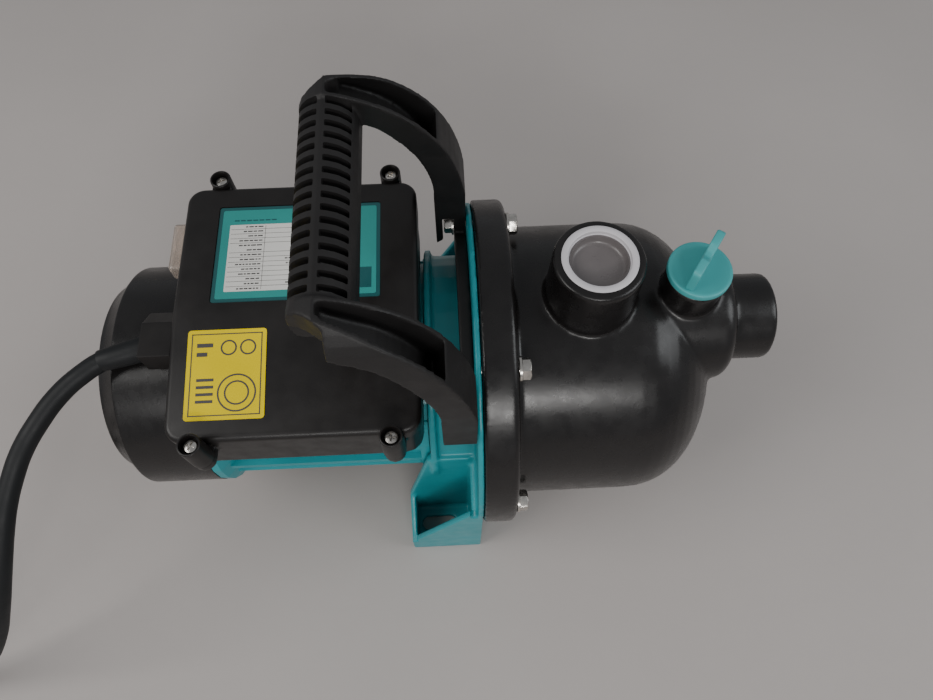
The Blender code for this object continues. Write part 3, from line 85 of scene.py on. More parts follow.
COIL_X, COIL_Y, COIL_RADII, COIL_DEGREES, COIL_STEP = -366.0, -91.0, (65.0, 55.0, 45.0), 1170, 15
COIL_TO_MIDDLE, COIL_TO_TIGHT = (240, 60), (600, 60)    # start and length in degrees
COIL_LIFT, COIL_BACK_OUT = (915, 85), (945, 110)
TAIL_X, PLUG_Y0, MAINS_PLUG_R, PIN_R = -421.0, -38.0, 19.0, 2.4


# ---- materials ---------------------------------------------------------------------------
def link_noise(tree, scale, detail, coords):
    noise = tree.nodes.new("ShaderNodeTexNoise")
    noise.inputs["Scale"].default_value = scale
    noise.inputs["Detail"].default_value = detail
    tree.links.new(coords.outputs["Object"], noise.inputs["Vector"])
    return noise.outputs["Fac"]


def spread(tree, value, low, high):
    """Map a noise value to a range."""
    step = tree.nodes.new("ShaderNodeMapRange")
    step.inputs["From Min"].default_value = 0.3
    step.inputs["From Max"].default_value = 0.7
    step.inputs["To Min"].default_value = low
    step.inputs["To Max"].default_value = high
    tree.links.new(value, step.inputs["Value"])
    return step.outputs["Result"]


def surface(name, colour, roughness, metallic=0.0, mottle=0.12, mottle_scale=40.0, grain=900.0,
            depth=0.04, rough_spread=0.06, dust=0.0, coat=0.0, specular=0.5, alpha=1.0, clear=0.0):
    """A plastic, metal or rubber: uneven colour and gloss, a fine grain and dust on what faces up."""
    material = bpy.data.materials.new(name)
    material.use_nodes = True
    tree = material.node_tree
    shader = tree.nodes["Principled BSDF"]
    shader.inputs["Metallic"].default_value = metallic
    shader.inputs["Coat Weight"].default_value = coat
    shader.inputs["Coat Roughness"].default_value = 0.12
    shader.inputs["Specular IOR Level"].default_value = specular
    shader.inputs["Alpha"].default_value = alpha
    shader.inputs["Transmission Weight"].default_value = clear
    coords = tree.nodes.new("ShaderNodeTexCoord")

    mix = tree.nodes.new("ShaderNodeMix")
    mix.data_type = "RGBA"
    mix.inputs["A"].default_value = (*[c * (1 - mottle) for c in colour], 1)
    mix.inputs["B"].default_value = (*[min(1.0, c * (1 + mottle)) for c in colour], 1)
    tree.links.new(spread(tree, link_noise(tree, mottle_scale, 5, coords), 0.0, 1.0), mix.inputs["Factor"])
    result = mix.outputs["Result"]
    if dust:
        normal = tree.nodes.new("ShaderNodeNewGeometry")
        split = tree.nodes.new("ShaderNodeSeparateXYZ")
        tree.links.new(normal.outputs["Normal"], split.inputs["Vector"])
        facing = tree.nodes.new("ShaderNodeMath")
        facing.operation = "MULTIPLY"
        facing.use_clamp = True
        tree.links.new(split.outputs["Z"], facing.inputs[0])
        tree.links.new(spread(tree, link_noise(tree, 55.0, 8, coords), 0.0, dust), facing.inputs[1])
        cover = tree.nodes.new("ShaderNodeMix")
        cover.data_type = "RGBA"
        cover.inputs["B"].default_value = (0.36, 0.33, 0.31, 1)
        tree.links.new(facing.outputs["Value"], cover.inputs["Factor"])
        tree.links.new(result, cover.inputs["A"])
        result = cover.outputs["Result"]
    tree.links.new(result, shader.inputs["Base Color"])
    uneven = link_noise(tree, 120.0, 6, coords)
    rough = spread(tree, uneven, roughness - rough_spread, roughness + rough_spread)
    tree.links.new(rough, shader.inputs["Roughness"])
    bump = tree.nodes.new("ShaderNodeBump")
    bump.inputs["Strength"].default_value = 0.5
    bump.inputs["Distance"].default_value = depth * MM
    tree.links.new(link_noise(tree, grain, 3, coords), bump.inputs["Height"])
    tree.links.new(bump.outputs["Normal"], shader.inputs["Normal"])
    return material


GLOSS = surface("gloss_black", (0.0085, 0.0076, 0.0076), 0.28, grain=500, depth=0.05, dust=0.012,
                specular=0.42)
BOX = surface("box_black", (0.0085, 0.0072, 0.0068), 0.38, grain=1400, depth=0.05, dust=0.012,
              specular=0.38)
GRIP = surface("grip_black", (0.0110, 0.0100, 0.0100), 0.52, grain=1800, depth=0.12, dust=0.008,
               specular=0.38)
TEAL = surface("teal", (0.010, 0.270, 0.305), 0.34, grain=700, depth=0.05, mottle=0.08, specular=0.4)
PLUG_TEAL = surface("plug_teal", (0.055, 0.350, 0.360), 0.42, grain=900, depth=0.05, mottle=0.06)
WHITE = surface("cap_white", (0.56, 0.54, 0.56), 0.38, grain=600, depth=0.04, mottle=0.05)
FROST = surface("cap_frost", (0.135, 0.122, 0.122), 0.30, grain=600, depth=0.04, mottle=0.14)
ZINC = surface("zinc_steel", (0.60, 0.57, 0.53), 0.26, 1.0, grain=2500, depth=0.05, mottle=0.18,
               mottle_scale=260)
DARK_STEEL = surface("ground_steel", (0.50, 0.49, 0.48), 0.22, 1.0, grain=2200, depth=0.04)
IRON = surface("laminations", (0.26, 0.26, 0.27), 0.5, 1.0, grain=1200, depth=0.1)
COPPER = surface("enamelled_copper", (0.62, 0.25, 0.10), 0.36, 1.0, grain=900, depth=0.5)
BRASS = surface("turned_brass", (0.72, 0.52, 0.22), 0.32, 1.0, grain=1500, depth=0.05)
ALUMINIUM = surface("cast_aluminium_skin", (0.56, 0.56, 0.56), 0.48, 1.0, grain=700, depth=0.3)
CERAMIC = surface("seal_ceramic", (0.78, 0.76, 0.70), 0.15, grain=900, depth=0.01, mottle=0.03)
NORYL = surface("noryl", (0.085, 0.085, 0.092), 0.42, grain=900, depth=0.06)
RUBBER = surface("rubber", (0.017, 0.017, 0.018), 0.62, grain=1300, depth=0.08)
SHEATH = surface("cord_sheath", (0.008, 0.009, 0.010), 0.52, grain=500, depth=0.15, dust=0.004,
                 specular=0.25)
BOOT = surface("clear_boot_skin", (0.80, 0.70, 0.62), 0.22, grain=300, depth=0.05, mottle=0.08,
               clear=0.75, alpha=0.85)
PALE = surface("pale_plastic", (0.66, 0.66, 0.62), 0.4, grain=900, depth=0.04)
LABEL_TEAL = surface("label_teal", (0.030, 0.260, 0.240), 0.36, grain=1500, depth=0.01, mottle=0.05,
                     specular=0.25)
LABEL_DARK = surface("label_dark", (0.012, 0.085, 0.090), 0.33, grain=1500, depth=0.01, mottle=0.05)
PAPER = surface("label_white", (0.66, 0.65, 0.62), 0.40, grain=1500, depth=0.01, mottle=0.04)
PRINT = surface("label_print", (0.060, 0.055, 0.055), 0.45, grain=1500, depth=0.01, mottle=0.04)
YELLOW = surface("label_yellow", (0.78, 0.60, 0.000), 0.42, grain=1500, depth=0.01, mottle=0.05,
                 specular=0.04)
FLOOR = surface("floor_paint", (0.40, 0.37, 0.355), 0.55, grain=60, depth=0.4, mottle=0.05, mottle_scale=3,
                specular=0.25)


# ---- modelling helpers -------------------------------------------------------------------
def add_object(name, vertices, faces):
    mesh = bpy.data.meshes.new(name)
    mesh.from_pydata([tuple(c * MM for c in v) for v in vertices], [], faces)
    thing = bpy.data.objects.new(name, mesh)
    bpy.context.scene.collection.objects.link(thing)
    return thing


def drop(thing):
    bpy.data.objects.remove(thing, do_unlink=True)


def along_x(y=0.0, z=AXIS_Z):
    return Matrix.Translation((0, y, z)) @ Matrix.Rotation(math.radians(90), 4, "Y")


def along_y(x, z):
    return Matrix.Translation((x, 0, z)) @ Matrix.Rotation(math.radians(-90), 4, "X")


def along_z(x, y=0.0):
    return Matrix.Translation((x, y, 0))


def pointing(start, end):
    """A frame at the start whose +Z points at the end."""
    direction = Vector(end) - Vector(start)
    return Matrix.Translation(start) @ direction.to_track_quat("Z", "Y").to_matrix().to_4x4()


def arc(cx, cy, radius, start, end, count=6):
    return [(cx + radius * math.cos(math.radians(start + (end - start) * i / count)),
             cy + radius * math.sin(math.radians(start + (end - start) * i / count)))
            for i in range(count + 1)]


def lathe(name, profile, frame_, steps=96, closed=False):
    """Turn (radius, height) points about the frame's Z.  An open profile starts and ends on Z."""
    vertices, rings, faces = [], [], []
    for r, h in profile:
        count = 1 if r == 0 else steps
        rings.append(range(len(vertices), len(vertices) + count))
        for i in range(count):
            turn = math.tau * i / steps
            vertices.append(frame_ @ Vector((r * math.cos(turn), r * math.sin(turn), h)))
    pairs = list(zip(rings, rings[1:])) + ([(rings[-1], rings[0])] if closed else [])
    for a, b in pairs:
        for i in range(steps):
            j = (i + 1) % steps
            corners = [a[i % len(a)], a[j % len(a)], b[j % len(b)], b[i % len(b)]]
            faces.append([c for k, c in enumerate(corners) if c not in corners[:k]])
    return facing_out(add_object(name, vertices, faces))


def rod(name, radius, low, high, frame_, steps):
    return lathe(name, [(0, low), (radius, low), (radius, high), (0, high)], frame_, steps)


def prism(name, outline, low, high, frame_=Matrix.Identity(4)):
    """An outline in the frame's XY plane, from one height to another."""
    count = len(outline)
    vertices = [frame_ @ Vector((x, y, z)) for z in (low, high) for x, y in outline]
    faces = [list(range(count)), list(range(count, 2 * count))]
    faces += [[i, (i + 1) % count, count + (i + 1) % count, count + i] for i in range(count)]
    return facing_out(add_object(name, vertices, faces))


def side_prism(name, outline_xz, y_low, y_high):
    frame_ = Matrix.Rotation(math.radians(90), 4, "X")
    return prism(name, outline_xz, -y_high, -y_low, frame_)


def end_prism(name, outline_yz, x_low, x_high):
    frame_ = Matrix(((0, 0, 1, 0), (1, 0, 0, 0), (0, 1, 0, 0), (0, 0, 0, 1)))
    return prism(name, outline_yz, x_low, x_high, frame_)


def rounded(x0, x1, y0, y1, corner, count=6):
    """A rectangle with rounded corners."""
    centres = ((x1 - corner, y1 - corner), (x0 + corner, y1 - corner),
               (x0 + corner, y0 + corner), (x1 - corner, y0 + corner))
    return [point for i, (x, y) in enumerate(centres)
            for point in arc(x, y, corner, 90 * i, 90 * (i + 1), count)]


def facing_out(thing):
    work = bmesh.new()
    work.from_mesh(thing.data)
    bmesh.ops.recalc_face_normals(work, faces=work.faces)
    work.to_mesh(thing.data)
    work.free()
    return thing


def settle(thing):
    """Apply an object's modifiers."""
    bpy.context.view_layer.update()
    graph = bpy.context.evaluated_depsgraph_get()
    mesh = bpy.data.meshes.new_from_object(thing.evaluated_get(graph), depsgraph=graph)
    thing.modifiers.clear()
    thing.data = mesh
    return thing


def combine(thing, others, operation, solver="MANIFOLD"):
    for other in others:
        step = thing.modifiers.new(operation, "BOOLEAN")
        step.operation = operation
        step.object = other
        step.solver = solver
    settle(thing)
    for other in others:
        drop(other)
    return thing


def cut(thing, *others):
    return combine(thing, others, "DIFFERENCE")


def join(thing, *others):
    return combine(thing, others, "UNION")


def soften(thing, voxel, rounds, share=0.4):
    """Melt sharp edges and inner corners together, as a mould does."""
    grid = thing.modifiers.new("grid", "REMESH")
    grid.mode = "VOXEL"
    grid.voxel_size = voxel * MM
    smooth = thing.modifiers.new("smooth", "SMOOTH")
    smooth.factor = 0.5
    smooth.iterations = rounds
    thin = thing.modifiers.new("thin", "DECIMATE")
    thin.ratio = share
    return settle(thing)


def edge_round(thing, width, segments=3, angle=30):
    soft = thing.modifiers.new("edges", "BEVEL")
    soft.width = width * MM
    soft.segments = segments
    soft.limit_method = "ANGLE"
    soft.angle_limit = math.radians(angle)
    return settle(thing)


def finish_piece(thing, material, body="pump", replaces=(), sharp=40):
    thing.data.materials.clear()
    thing.data.materials.append(material)
    if thing.type == "MESH":
        thing.data.shade_smooth()
        thing.data.set_sharp_from_angle(angle=math.radians(sharp))
    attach(thing, body)
    if replaces:
        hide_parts(*replaces)
    return thing


def copy_node(name):
    thing = nodes[name].copy()
    thing.data = nodes[name].data.copy()
    thing.name = name + "_skin"
    thing.parent = None
    bpy.context.scene.collection.objects.link(thing)
    return thing


def moulded(name, material, voxel=0.9, rounds=3, share=0.35):
    """Stand a softened copy in for a CAD node whose edges are sharp."""
    finish_piece(soften(copy_node(name), voxel, rounds, share), material, replaces=(name,), sharp=60)


# ---- camera, light and floor -------------------------------------------------------------
CAMERA_AT, CAMERA_LENS = Vector((8.2, -168.0, 480.8)) * MM, 27.36
CAMERA_YAW, CAMERA_DOWN, CAMERA_ROLL = 2.6, 65.4, -0.1


def build_camera():
    yaw, down, roll = (math.radians(a) for a in (CAMERA_YAW, CAMERA_DOWN, CAMERA_ROLL))
    ahead = Vector((math.sin(yaw) * math.cos(down), math.cos(yaw) * math.cos(down), -math.sin(down)))
    right = Vector((math.cos(yaw), -math.sin(yaw), 0))
    up = right.cross(ahead)
    turned = math.cos(roll) * right + math.sin(roll) * up, math.cos(roll) * up - math.sin(roll) * right
    data = bpy.data.cameras.new("camera")
    data.sensor_width = 36.0
    data.lens = CAMERA_LENS
    data.clip_start = 0.01
    camera = bpy.data.objects.new("camera", data)
    camera.matrix_world = Matrix.Translation(CAMERA_AT) @ Matrix((*turned, -ahead)).transposed().to_4x4()
    bpy.context.scene.collection.objects.link(camera)
    bpy.context.scene.camera = camera


def add_light(name, place, target, size, energy, colour=(1, 1, 1)):
    data = bpy.data.lights.new(name, "AREA")
    data.shape = "RECTANGLE"
    data.size, data.size_y = size
    data.energy = energy
    data.color = colour
    lamp = bpy.data.objects.new(name, data)
    lamp.matrix_world = (Matrix.Translation(place)
                         @ (Vector(place) - Vector(target)).to_track_quat("Z", "Y").to_matrix().to_4x4())
    bpy.context.scene.collection.objects.link(lamp)


def build_stage():
    world = bpy.data.worlds.new("studio")
    world.use_nodes = True
    sky = world.node_tree.nodes["Background"]
    sky.inputs["Color"].default_value = (0.93, 0.96, 1.0, 1)
    sky.inputs["Strength"].default_value = 0.33
    bpy.context.scene.world = world
    add_light("left", (-1.3, -0.35, 1.35), (0, 0, 0.05), (1.0, 1.0), 15, (1.0, 0.98, 0.95))
    add_light("right", (1.35, -0.25, 1.3), (0, 0, 0.05), (0.9, 0.9), 9, (0.95, 0.98, 1.0))
    add_light("behind_camera", (-0.1, -1.7, 1.25), (0, 0, 0.05), (1.5, 0.5), 13, (1.0, 0.98, 0.96))
    add_light("front", (0.15, -1.35, 0.95), (0.05, 0, 0.1), (0.30, 0.08), 3.0, (1.0, 0.98, 0.96))
    floor = prism("floor", [(-3000, -3000), (3000, -3000), (3000, 3000), (-3000, 3000)], -20, -0.1)
    floor.data.materials.append(FLOOR)


# ---- cord --------------------------------------------------------------------------------
def ease(turned, span):
    """From 0 to 1, gently, over a span given by its start and length."""
    start, length = span
    value = min(1.0, max(0.0, (turned - start) / length))
    return value * value * (3 - 2 * value)


def coil_points():
    """Three turns side by side, clockwise from above, then over them and out to the plug."""
    wide, middle, tight = COIL_RADII
    floor_z, top_z = CORD_D / 2 + 0.4, CORD_D * 1.5 + 0.5
    points = []
    for turned in range(COIL_STEP, COIL_DEGREES + 1, COIL_STEP):
        radius = wide + (middle - wide) * ease(turned, COIL_TO_MIDDLE)
        radius += (tight - middle) * ease(turned, COIL_TO_TIGHT)
        radius += (middle - tight) * ease(turned, COIL_BACK_OUT)
        z = floor_z + (top_z - floor_z) * ease(turned, COIL_LIFT)
        angle = math.radians(-90 - turned)
        points.append((COIL_X + radius * math.cos(angle), COIL_Y + radius * math.sin(angle), z))
    return points


def build_cord():
    tail = [(TAIL_X, COIL_Y + 18, 16.5), (TAIL_X, COIL_Y + 36, 18.5),
            (TAIL_X, PLUG_Y0 + 4, MAINS_PLUG_R)]
    route = list(CORD_ROUTE) + coil_points() + tail
    data = bpy.data.curves.new("cord", "CURVE")
    data.dimensions = "3D"
    data.bevel_depth = CORD_D / 2 * MM
    data.bevel_resolution = 5
    data.resolution_u = 5
    data.use_fill_caps = True
    spline = data.splines.new("BEZIER")
    spline.bezier_points.add(len(route) - 1)
    for point, place in zip(spline.bezier_points, route):
        point.co = Vector(place) * MM
        point.handle_left_type = point.handle_right_type = "AUTO"
    cord = bpy.data.objects.new("cord", data)
    bpy.context.scene.collection.objects.link(cord)
    data.materials.append(SHEATH)
    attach(cord, "pump")
    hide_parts("power_cord", "cord_coil")

    relief = [(0, -1), (6.3, -1), (6.3, 2), (6.1, 8), (5.7, 15), (5.3, 21.5), (5.1, 22), (0, 22)]
    finish_piece(lathe("cord_relief", relief, pointing(EXIT, CORD_ROUTE[1]), 40), SHEATH)

    r = MAINS_PLUG_R
    profile = [(0, PLUG_Y0), (7.0, PLUG_Y0)]
    for ring in range(4):
        at = PLUG_Y0 + 2 + 4.5 * ring
        profile += [(8.0 + ring, at), (8.3 + ring, at + 2.6), (7.3 + ring, at + 3.2)]
    profile += [(13.5, PLUG_Y0 + 22), (r - 2, PLUG_Y0 + 30), (r, PLUG_Y0 + 35), (r, PLUG_Y0 + 53)]
    profile += arc(r - 2, PLUG_Y0 + 54, 2, 0, 90, 4) + [(0, PLUG_Y0 + 56)]
    body = lathe("plug_body", profile, along_y(TAIL_X, r), 56)
    finish_piece(body, RUBBER, replaces=("mains_plug",))
    base, tip = PLUG_Y0 + 50, PLUG_Y0 + 75
    pin = [(0, base), (PIN_R, base), (PIN_R, tip - 1.5), (1.6, tip), (0, tip)]
    for side in (-1, 1):
        finish_piece(lathe(f"plug_pin_{side + 2}", pin, along_y(TAIL_X + side * 9.5, r), 24), BRASS)


# ---- pump body ---------------------------------------------------------------------------
def dome(radius, steps=14):
    points = []
    for i in range(steps + 1):
        turn = math.radians(90 * i / steps)
        points.append((radius * math.cos(turn) ** (2 / DOME_POWER) if i < steps else 0,
                       DOME_X0 + DOME_DEPTH * math.sin(turn) ** (2 / DOME_POWER)))
    return points


def build_pump_body():
    flange = [(0, FLANGE_X0), (FLANGE_R - 1.0, FLANGE_X0)]
    flange += arc(FLANGE_R - 1.0, FLANGE_X0 + 1.0, 1.0, -90, 0, 3)
    flange += arc(FLANGE_R - 3.0, FLANGE_X1 - 3.0, 3.0, 0, 90, 5)
    flange += [(BODY_R + 1.5, FLANGE_X1), (BODY_R, FLANGE_X1 + 1.5)]
    body = lathe("pump_body_skin", flange + dome(BODY_R), along_x(), 160)
    nose = [(0, 96), (NOSE_R, 96)] + arc(NOSE_R - 7, NOSE_X1 - 7, 7, 0, 90, 6)
    nose += [(INLET_R, NOSE_X1), (INLET_R, INLET_X - 2.0)]
    nose += arc(INLET_R - 2, INLET_X - 2, 2, 0, 90, 4) + [(0, INLET_X)]
    outlet = [(0, 140), (OUTLET_BASE_R, 140), (OUTLET_BASE_R, 176), (OUTLET_R, OUTLET_Z - 1.5)]
    outlet += arc(OUTLET_R - 1.5, OUTLET_Z - 1.5, 1.5, 0, 90, 4) + [(0, OUTLET_Z)]
    fill = [(0, 150), (FILL_R + 0.6, 150), (FILL_R, FILL_Z - 1), (FILL_R - 1, FILL_Z), (0, FILL_Z)]
    drain = [(0, 110), (DRAIN_R, 110), (DRAIN_R, DRAIN_X - 1), (DRAIN_R - 1, DRAIN_X), (0, DRAIN_X)]
    parts = [lathe("nose", nose, along_x(0, NOSE_Z)), lathe("outlet", outlet, along_z(OUTLET_X)),
             lathe("fill", fill, along_z(FILL_X)), lathe("drain", drain, along_x(0, DRAIN_Z))]
    join(body, *parts)
    soften(body, 1.1, 5, 0.35)
    bores = [rod("bore", PORT_R, 150, 220, along_z(OUTLET_X), 64),
             rod("bore", PORT_R, 125, 190, along_x(0, NOSE_Z), 64),
             rod("bore", PLUG_BORE_R, 165, 200, along_z(FILL_X), 48),
             rod("bore", PLUG_BORE_R, 130, 160, along_x(0, DRAIN_Z), 48),
             rod("recess", RECESS_R, 10, 26, along_x(), 96)]
    for i in range(6):
        y, z = on_circle(BOLT_CIRCLE_R, BOLT_SHIFT + 60 * i)
        bores.append(rod("hole", 3.3, 10, 45, along_x(y, z), 20))
    cut(body, *bores)
    finish_piece(body, GLOSS, replaces=("pump_body",), sharp=50)


def on_circle(radius, degrees):
    turn = math.radians(degrees)
    return radius * math.cos(turn), AXIS_Z + radius * math.sin(turn)


def hexagon(across_flats):
    return arc(0, 0, across_flats / math.sqrt(3), 0, 300, 5)


def hex_head(name, frame_, base, across_flats, height):
    """A hexagon head whose corners are turned off."""
    head = prism(name, hexagon(across_flats), base, base + height, frame_)
    corner = across_flats / math.sqrt(3)
    top = base + height
    cone = [(0, base - 1), (corner + 1, base - 1), (corner + 1, top - 1.6),
            (across_flats / 2 - 0.3, top + 0.1), (0, top + 0.1)]
    combine(head, [lathe("cone", cone, frame_, 48)], "INTERSECT")
    return edge_round(head, 0.25, 2)


def build_bolts():
    for i in range(6):
        y, z = on_circle(BOLT_CIRCLE_R, BOLT_SHIFT + 60 * i)
        frame_ = along_x(y, z) @ Matrix.Rotation(math.radians(17 * i), 4, "Z")
        base = FLANGE_X1 + 0.3
        shank = [(0, 18.2), (3.0, 18.2), (3.0, base), (6.2, base), (6.2, base + 1.1),
                 (5.9, base + 1.4), (0, base + 1.4)]
        bolt = lathe(f"bolt_{i + 1}", shank, frame_, 40)
        join(bolt, hex_head("head", frame_, base + 1.2, BOLT_HEX, BOLT_HEAD))
        finish_piece(bolt, ZINC, replaces=(f"flange_bolt_{i + 1}",), sharp=30)
    for i, side in enumerate((-1, 1)):
        frame_ = along_x(side * HANDLE_SCREW_Y, HANDLE_SCREW_Z) @ Matrix.Rotation(math.radians(180), 4, "X")
        shank = [(0, -20.8), (2.4, -20.8), (2.4, -11.2), (5.6, -11.2), (5.6, -10.2), (0, -10.2)]
        screw = lathe(f"arm_screw_{i + 1}", shank, frame_, 36)
        join(screw, hex_head("head", frame_, -10.4, ARM_SCREW_HEX, ARM_SCREW_HEAD))
        finish_piece(screw, ZINC, replaces=(f"handle_screw_{i + 1}",), sharp=30)


# ---- plugs and caps ----------------------------------------------------------------------
def build_plug(name, frame_, seat, wing_turn, body):
    low, top = seat + 1.6, seat + 1.6 + PLUG_DISC
    shank = PLUG_BORE_R - 0.3
    profile = [(0, seat - 11), (shank - 1, seat - 11), (shank, seat - 10), (shank, seat - 0.4),
               (shank - 0.8, low), (PLUG_R - 0.5, low)]
    profile += arc(PLUG_R - 0.5, low + 0.5, 0.5, -90, 0, 3)
    profile += arc(PLUG_R - 0.8, top - 0.8, 0.8, 0, 90, 4)
    profile += [(PLUG_R - 1.8, top), (PLUG_R - 2.4, top - 0.35), (0, top - 0.35)]
    disc = lathe(name + "_disc", profile, frame_, 80)
    half, tall = WING_HALF, WING_TALL
    outline = [(-half + 1.2, -1), (half - 1.2, -1)] + arc(half - 2.5, tall - 2.5, 2.5, 0, 90, 4)
    outline += [(5.0, tall - 0.2), (1.5, tall - 2.6), (-1.5, tall - 2.6), (-5.0, tall - 0.2)]
    outline += arc(-half + 2.5, tall - 2.5, 2.5, 90, 180, 4)
    stand = (frame_ @ Matrix.Translation((0, 0, top - 0.4)) @ Matrix.Rotation(wing_turn, 4, "Z")
             @ Matrix.Rotation(math.radians(90), 4, "X"))
    wing = edge_round(prism("wing", outline, -WING_THICK / 2, WING_THICK / 2, stand), 0.7, 3)
    join(disc, wing)
    finish_piece(disc, PLUG_TEAL, body, (name,), 35)


def build_cap(name, frame_, rim, body):
    """A push-in transport cap: a flat white ring over the port and a frosted cup inside it."""
    shell = [(15.0, rim - 11), (15.7, rim - 9.5), (15.7, rim + 0.1), (17.4, rim + 0.1), (17.7, rim + 0.3)]
    shell += [(17.7, rim + 0.7), (17.3, rim + 1.0), (14.9, rim + 1.0), (14.5, rim + 0.7), (14.4, rim - 1.0)]
    shell += [(14.0, rim - 1.2), (14.0, rim - 11)]
    finish_piece(lathe(name + "_skin", shell, frame_, 96, True), WHITE, body, (name,), 45)
    cup = [(0, rim - 11.3), (13.6, rim - 11.3), (13.85, rim - 10.8), (13.85, rim - 1.3), (13.2, rim - 1.3)]
    cup += [(12.9, rim - 4.2), (12.2, rim - 5.2), (11.0, rim - 5.6), (0, rim - 5.8)]
    finish_piece(lathe(name + "_cup", cup, frame_, 72), FROST, body, (), 45)


# ---- terminal box ------------------------------------------------------------------------
def soften_rim(thing, width, segments=5):
    """Round the edge where the top faces meet the sides."""
    work = bmesh.new()
    work.from_mesh(thing.data)
    work.normal_update()
    rim = [e for e in work.edges if sum(f.normal.z > 0.5 for f in e.link_faces) == 1]
    bmesh.ops.bevel(work, geom=rim, offset=width * MM, segments=segments, profile=0.5, affect="EDGES",
                    clamp_overlap=True)
    work.to_mesh(thing.data)
    work.free()


def slope_wedge(drop_z):
    """What lies over the lid's sloping near half, lowered a little."""
    run, low = 80, LID_Z1 - drop_z
    outline = [(CREASE_Y - run, low - run * math.tan(LID_SLOPE)), (CREASE_Y, low), (CREASE_Y, low + 30)]
    return end_prism("wedge", outline + [(CREASE_Y - run, low + 30)], -150, 20)


def ear_places():
    return [(x, side * EAR_Y) for side in (1, -1) for x in EAR_X]


def build_lid():
    lid = prism("lid", rounded(LID_X0, LID_X1, -LID_Y, LID_Y, LID_CORNER, 10), LID_Z0, LID_Z1)
    cut(lid, slope_wedge(0))
    soften_rim(lid, LID_EDGE)
    ears, holes = [], []
    for x, y in ear_places():
        side = 1 if y > 0 else -1
        ear = lathe("ear", [(0, LID_Z0), (EAR_R, LID_Z0), (EAR_R - 0.2, EAR_TOP - 0.6)]
                    + arc(EAR_R - 0.8, EAR_TOP - 0.6, 0.6, 0, 90, 3) + [(0, EAR_TOP)], along_z(x, y), 40)
        root = sorted((side * (LID_Y - 2), y))
        west, east = x - ROOT_HALF, x + ROOT_HALF
        corners = [(west, root[0]), (east, root[0]), (east, root[1]), (west, root[1])]
        ears += [ear, prism("root", corners, LID_Z0, 169.0 if side < 0 else 180.0)]
        well = [(0, 179.2), (4.3, 179.2), (4.5, EAR_TOP + 3), (0, EAR_TOP + 3)]
        holes += [lathe("hole", well, along_z(x, y), 40), rod("hole", 2.2, 150, 190, along_z(x, y), 20)]
    join(lid, *ears)
    hollow = prism("hollow", rounded(LID_X0 + 3, LID_X1 - 3, -LID_Y + 3, LID_Y - 3, 6), 150,
                   LID_Z1 - LID_ROOF)
    cut(hollow, slope_wedge(LID_ROOF))
    recess = prism("recess", rounded(LABEL_X0, LABEL_X1, LABEL_Y0, LABEL_Y1, 1.5), LID_Z1 - LABEL_DEPTH,
                   LID_Z1 + 5)
    gland = rod("hole", 5, -130, -110, along_x(EXIT[1], EXIT[2]), 32)
    cut(lid, hollow, recess, gland, *holes)
    finish_piece(lid, BOX, replaces=("terminal_box_cover",), sharp=35)
    for i, (x, y) in enumerate(ear_places()):
        base = 179.5
        profile = [(0, 155), (1.6, 155), (1.6, base), (3.2, base), (3.3, base + 0.8)]
        profile += [(2.8, base + 1.5), (1.6, base + 1.9), (0, base + 2.0)]
        screw = lathe(f"lid_screw_{i + 1}", profile, along_z(x, y), 40)
        arms = []
        for turn in (0, 90):
            frame_ = along_z(x, y) @ Matrix.Rotation(math.radians(turn + 25 + 20 * i), 4, "Z")
            slot = [(-1.9, -0.4), (1.9, -0.4), (1.9, 0.4), (-1.9, 0.4)]
            arms.append(prism("arm", slot, base + 0.7, base + 4, frame_))
        cut(screw, *arms)
        finish_piece(screw, ZINC, replaces=(f"cover_screw_{i + 1}",), sharp=30)


def strips(name, boxes, z0, z1, material, tilt=None):
    """One piece made of many flat rectangles, each (x0, x1, y0, y1)."""
    vertices, faces = [], []
    for x0, x1, y0, y1 in boxes:
        base = len(vertices)
        vertices += [(x, y, z) for z in (z0, z1) for x, y in ((x0, y0), (x1, y0), (x1, y1), (x0, y1))]
        quads = ((0, 1, 2, 3), (4, 5, 6, 7), (0, 1, 5, 4), (1, 2, 6, 5), (2, 3, 7, 6), (3, 0, 4, 7))
        faces += [[base + c for c in quad] for quad in quads]
    thing = facing_out(add_object(name, vertices, faces))
    if tilt is not None:
        thing.data.transform(tilt)
    finish_piece(thing, material)


def frame_strips(x0, x1, y0, y1, width):
    return [(x0, x1, y0, y0 + width), (x0, x1, y1 - width, y1),
            (x0, x0 + width, y0, y1), (x1 - width, x1, y0, y1)]


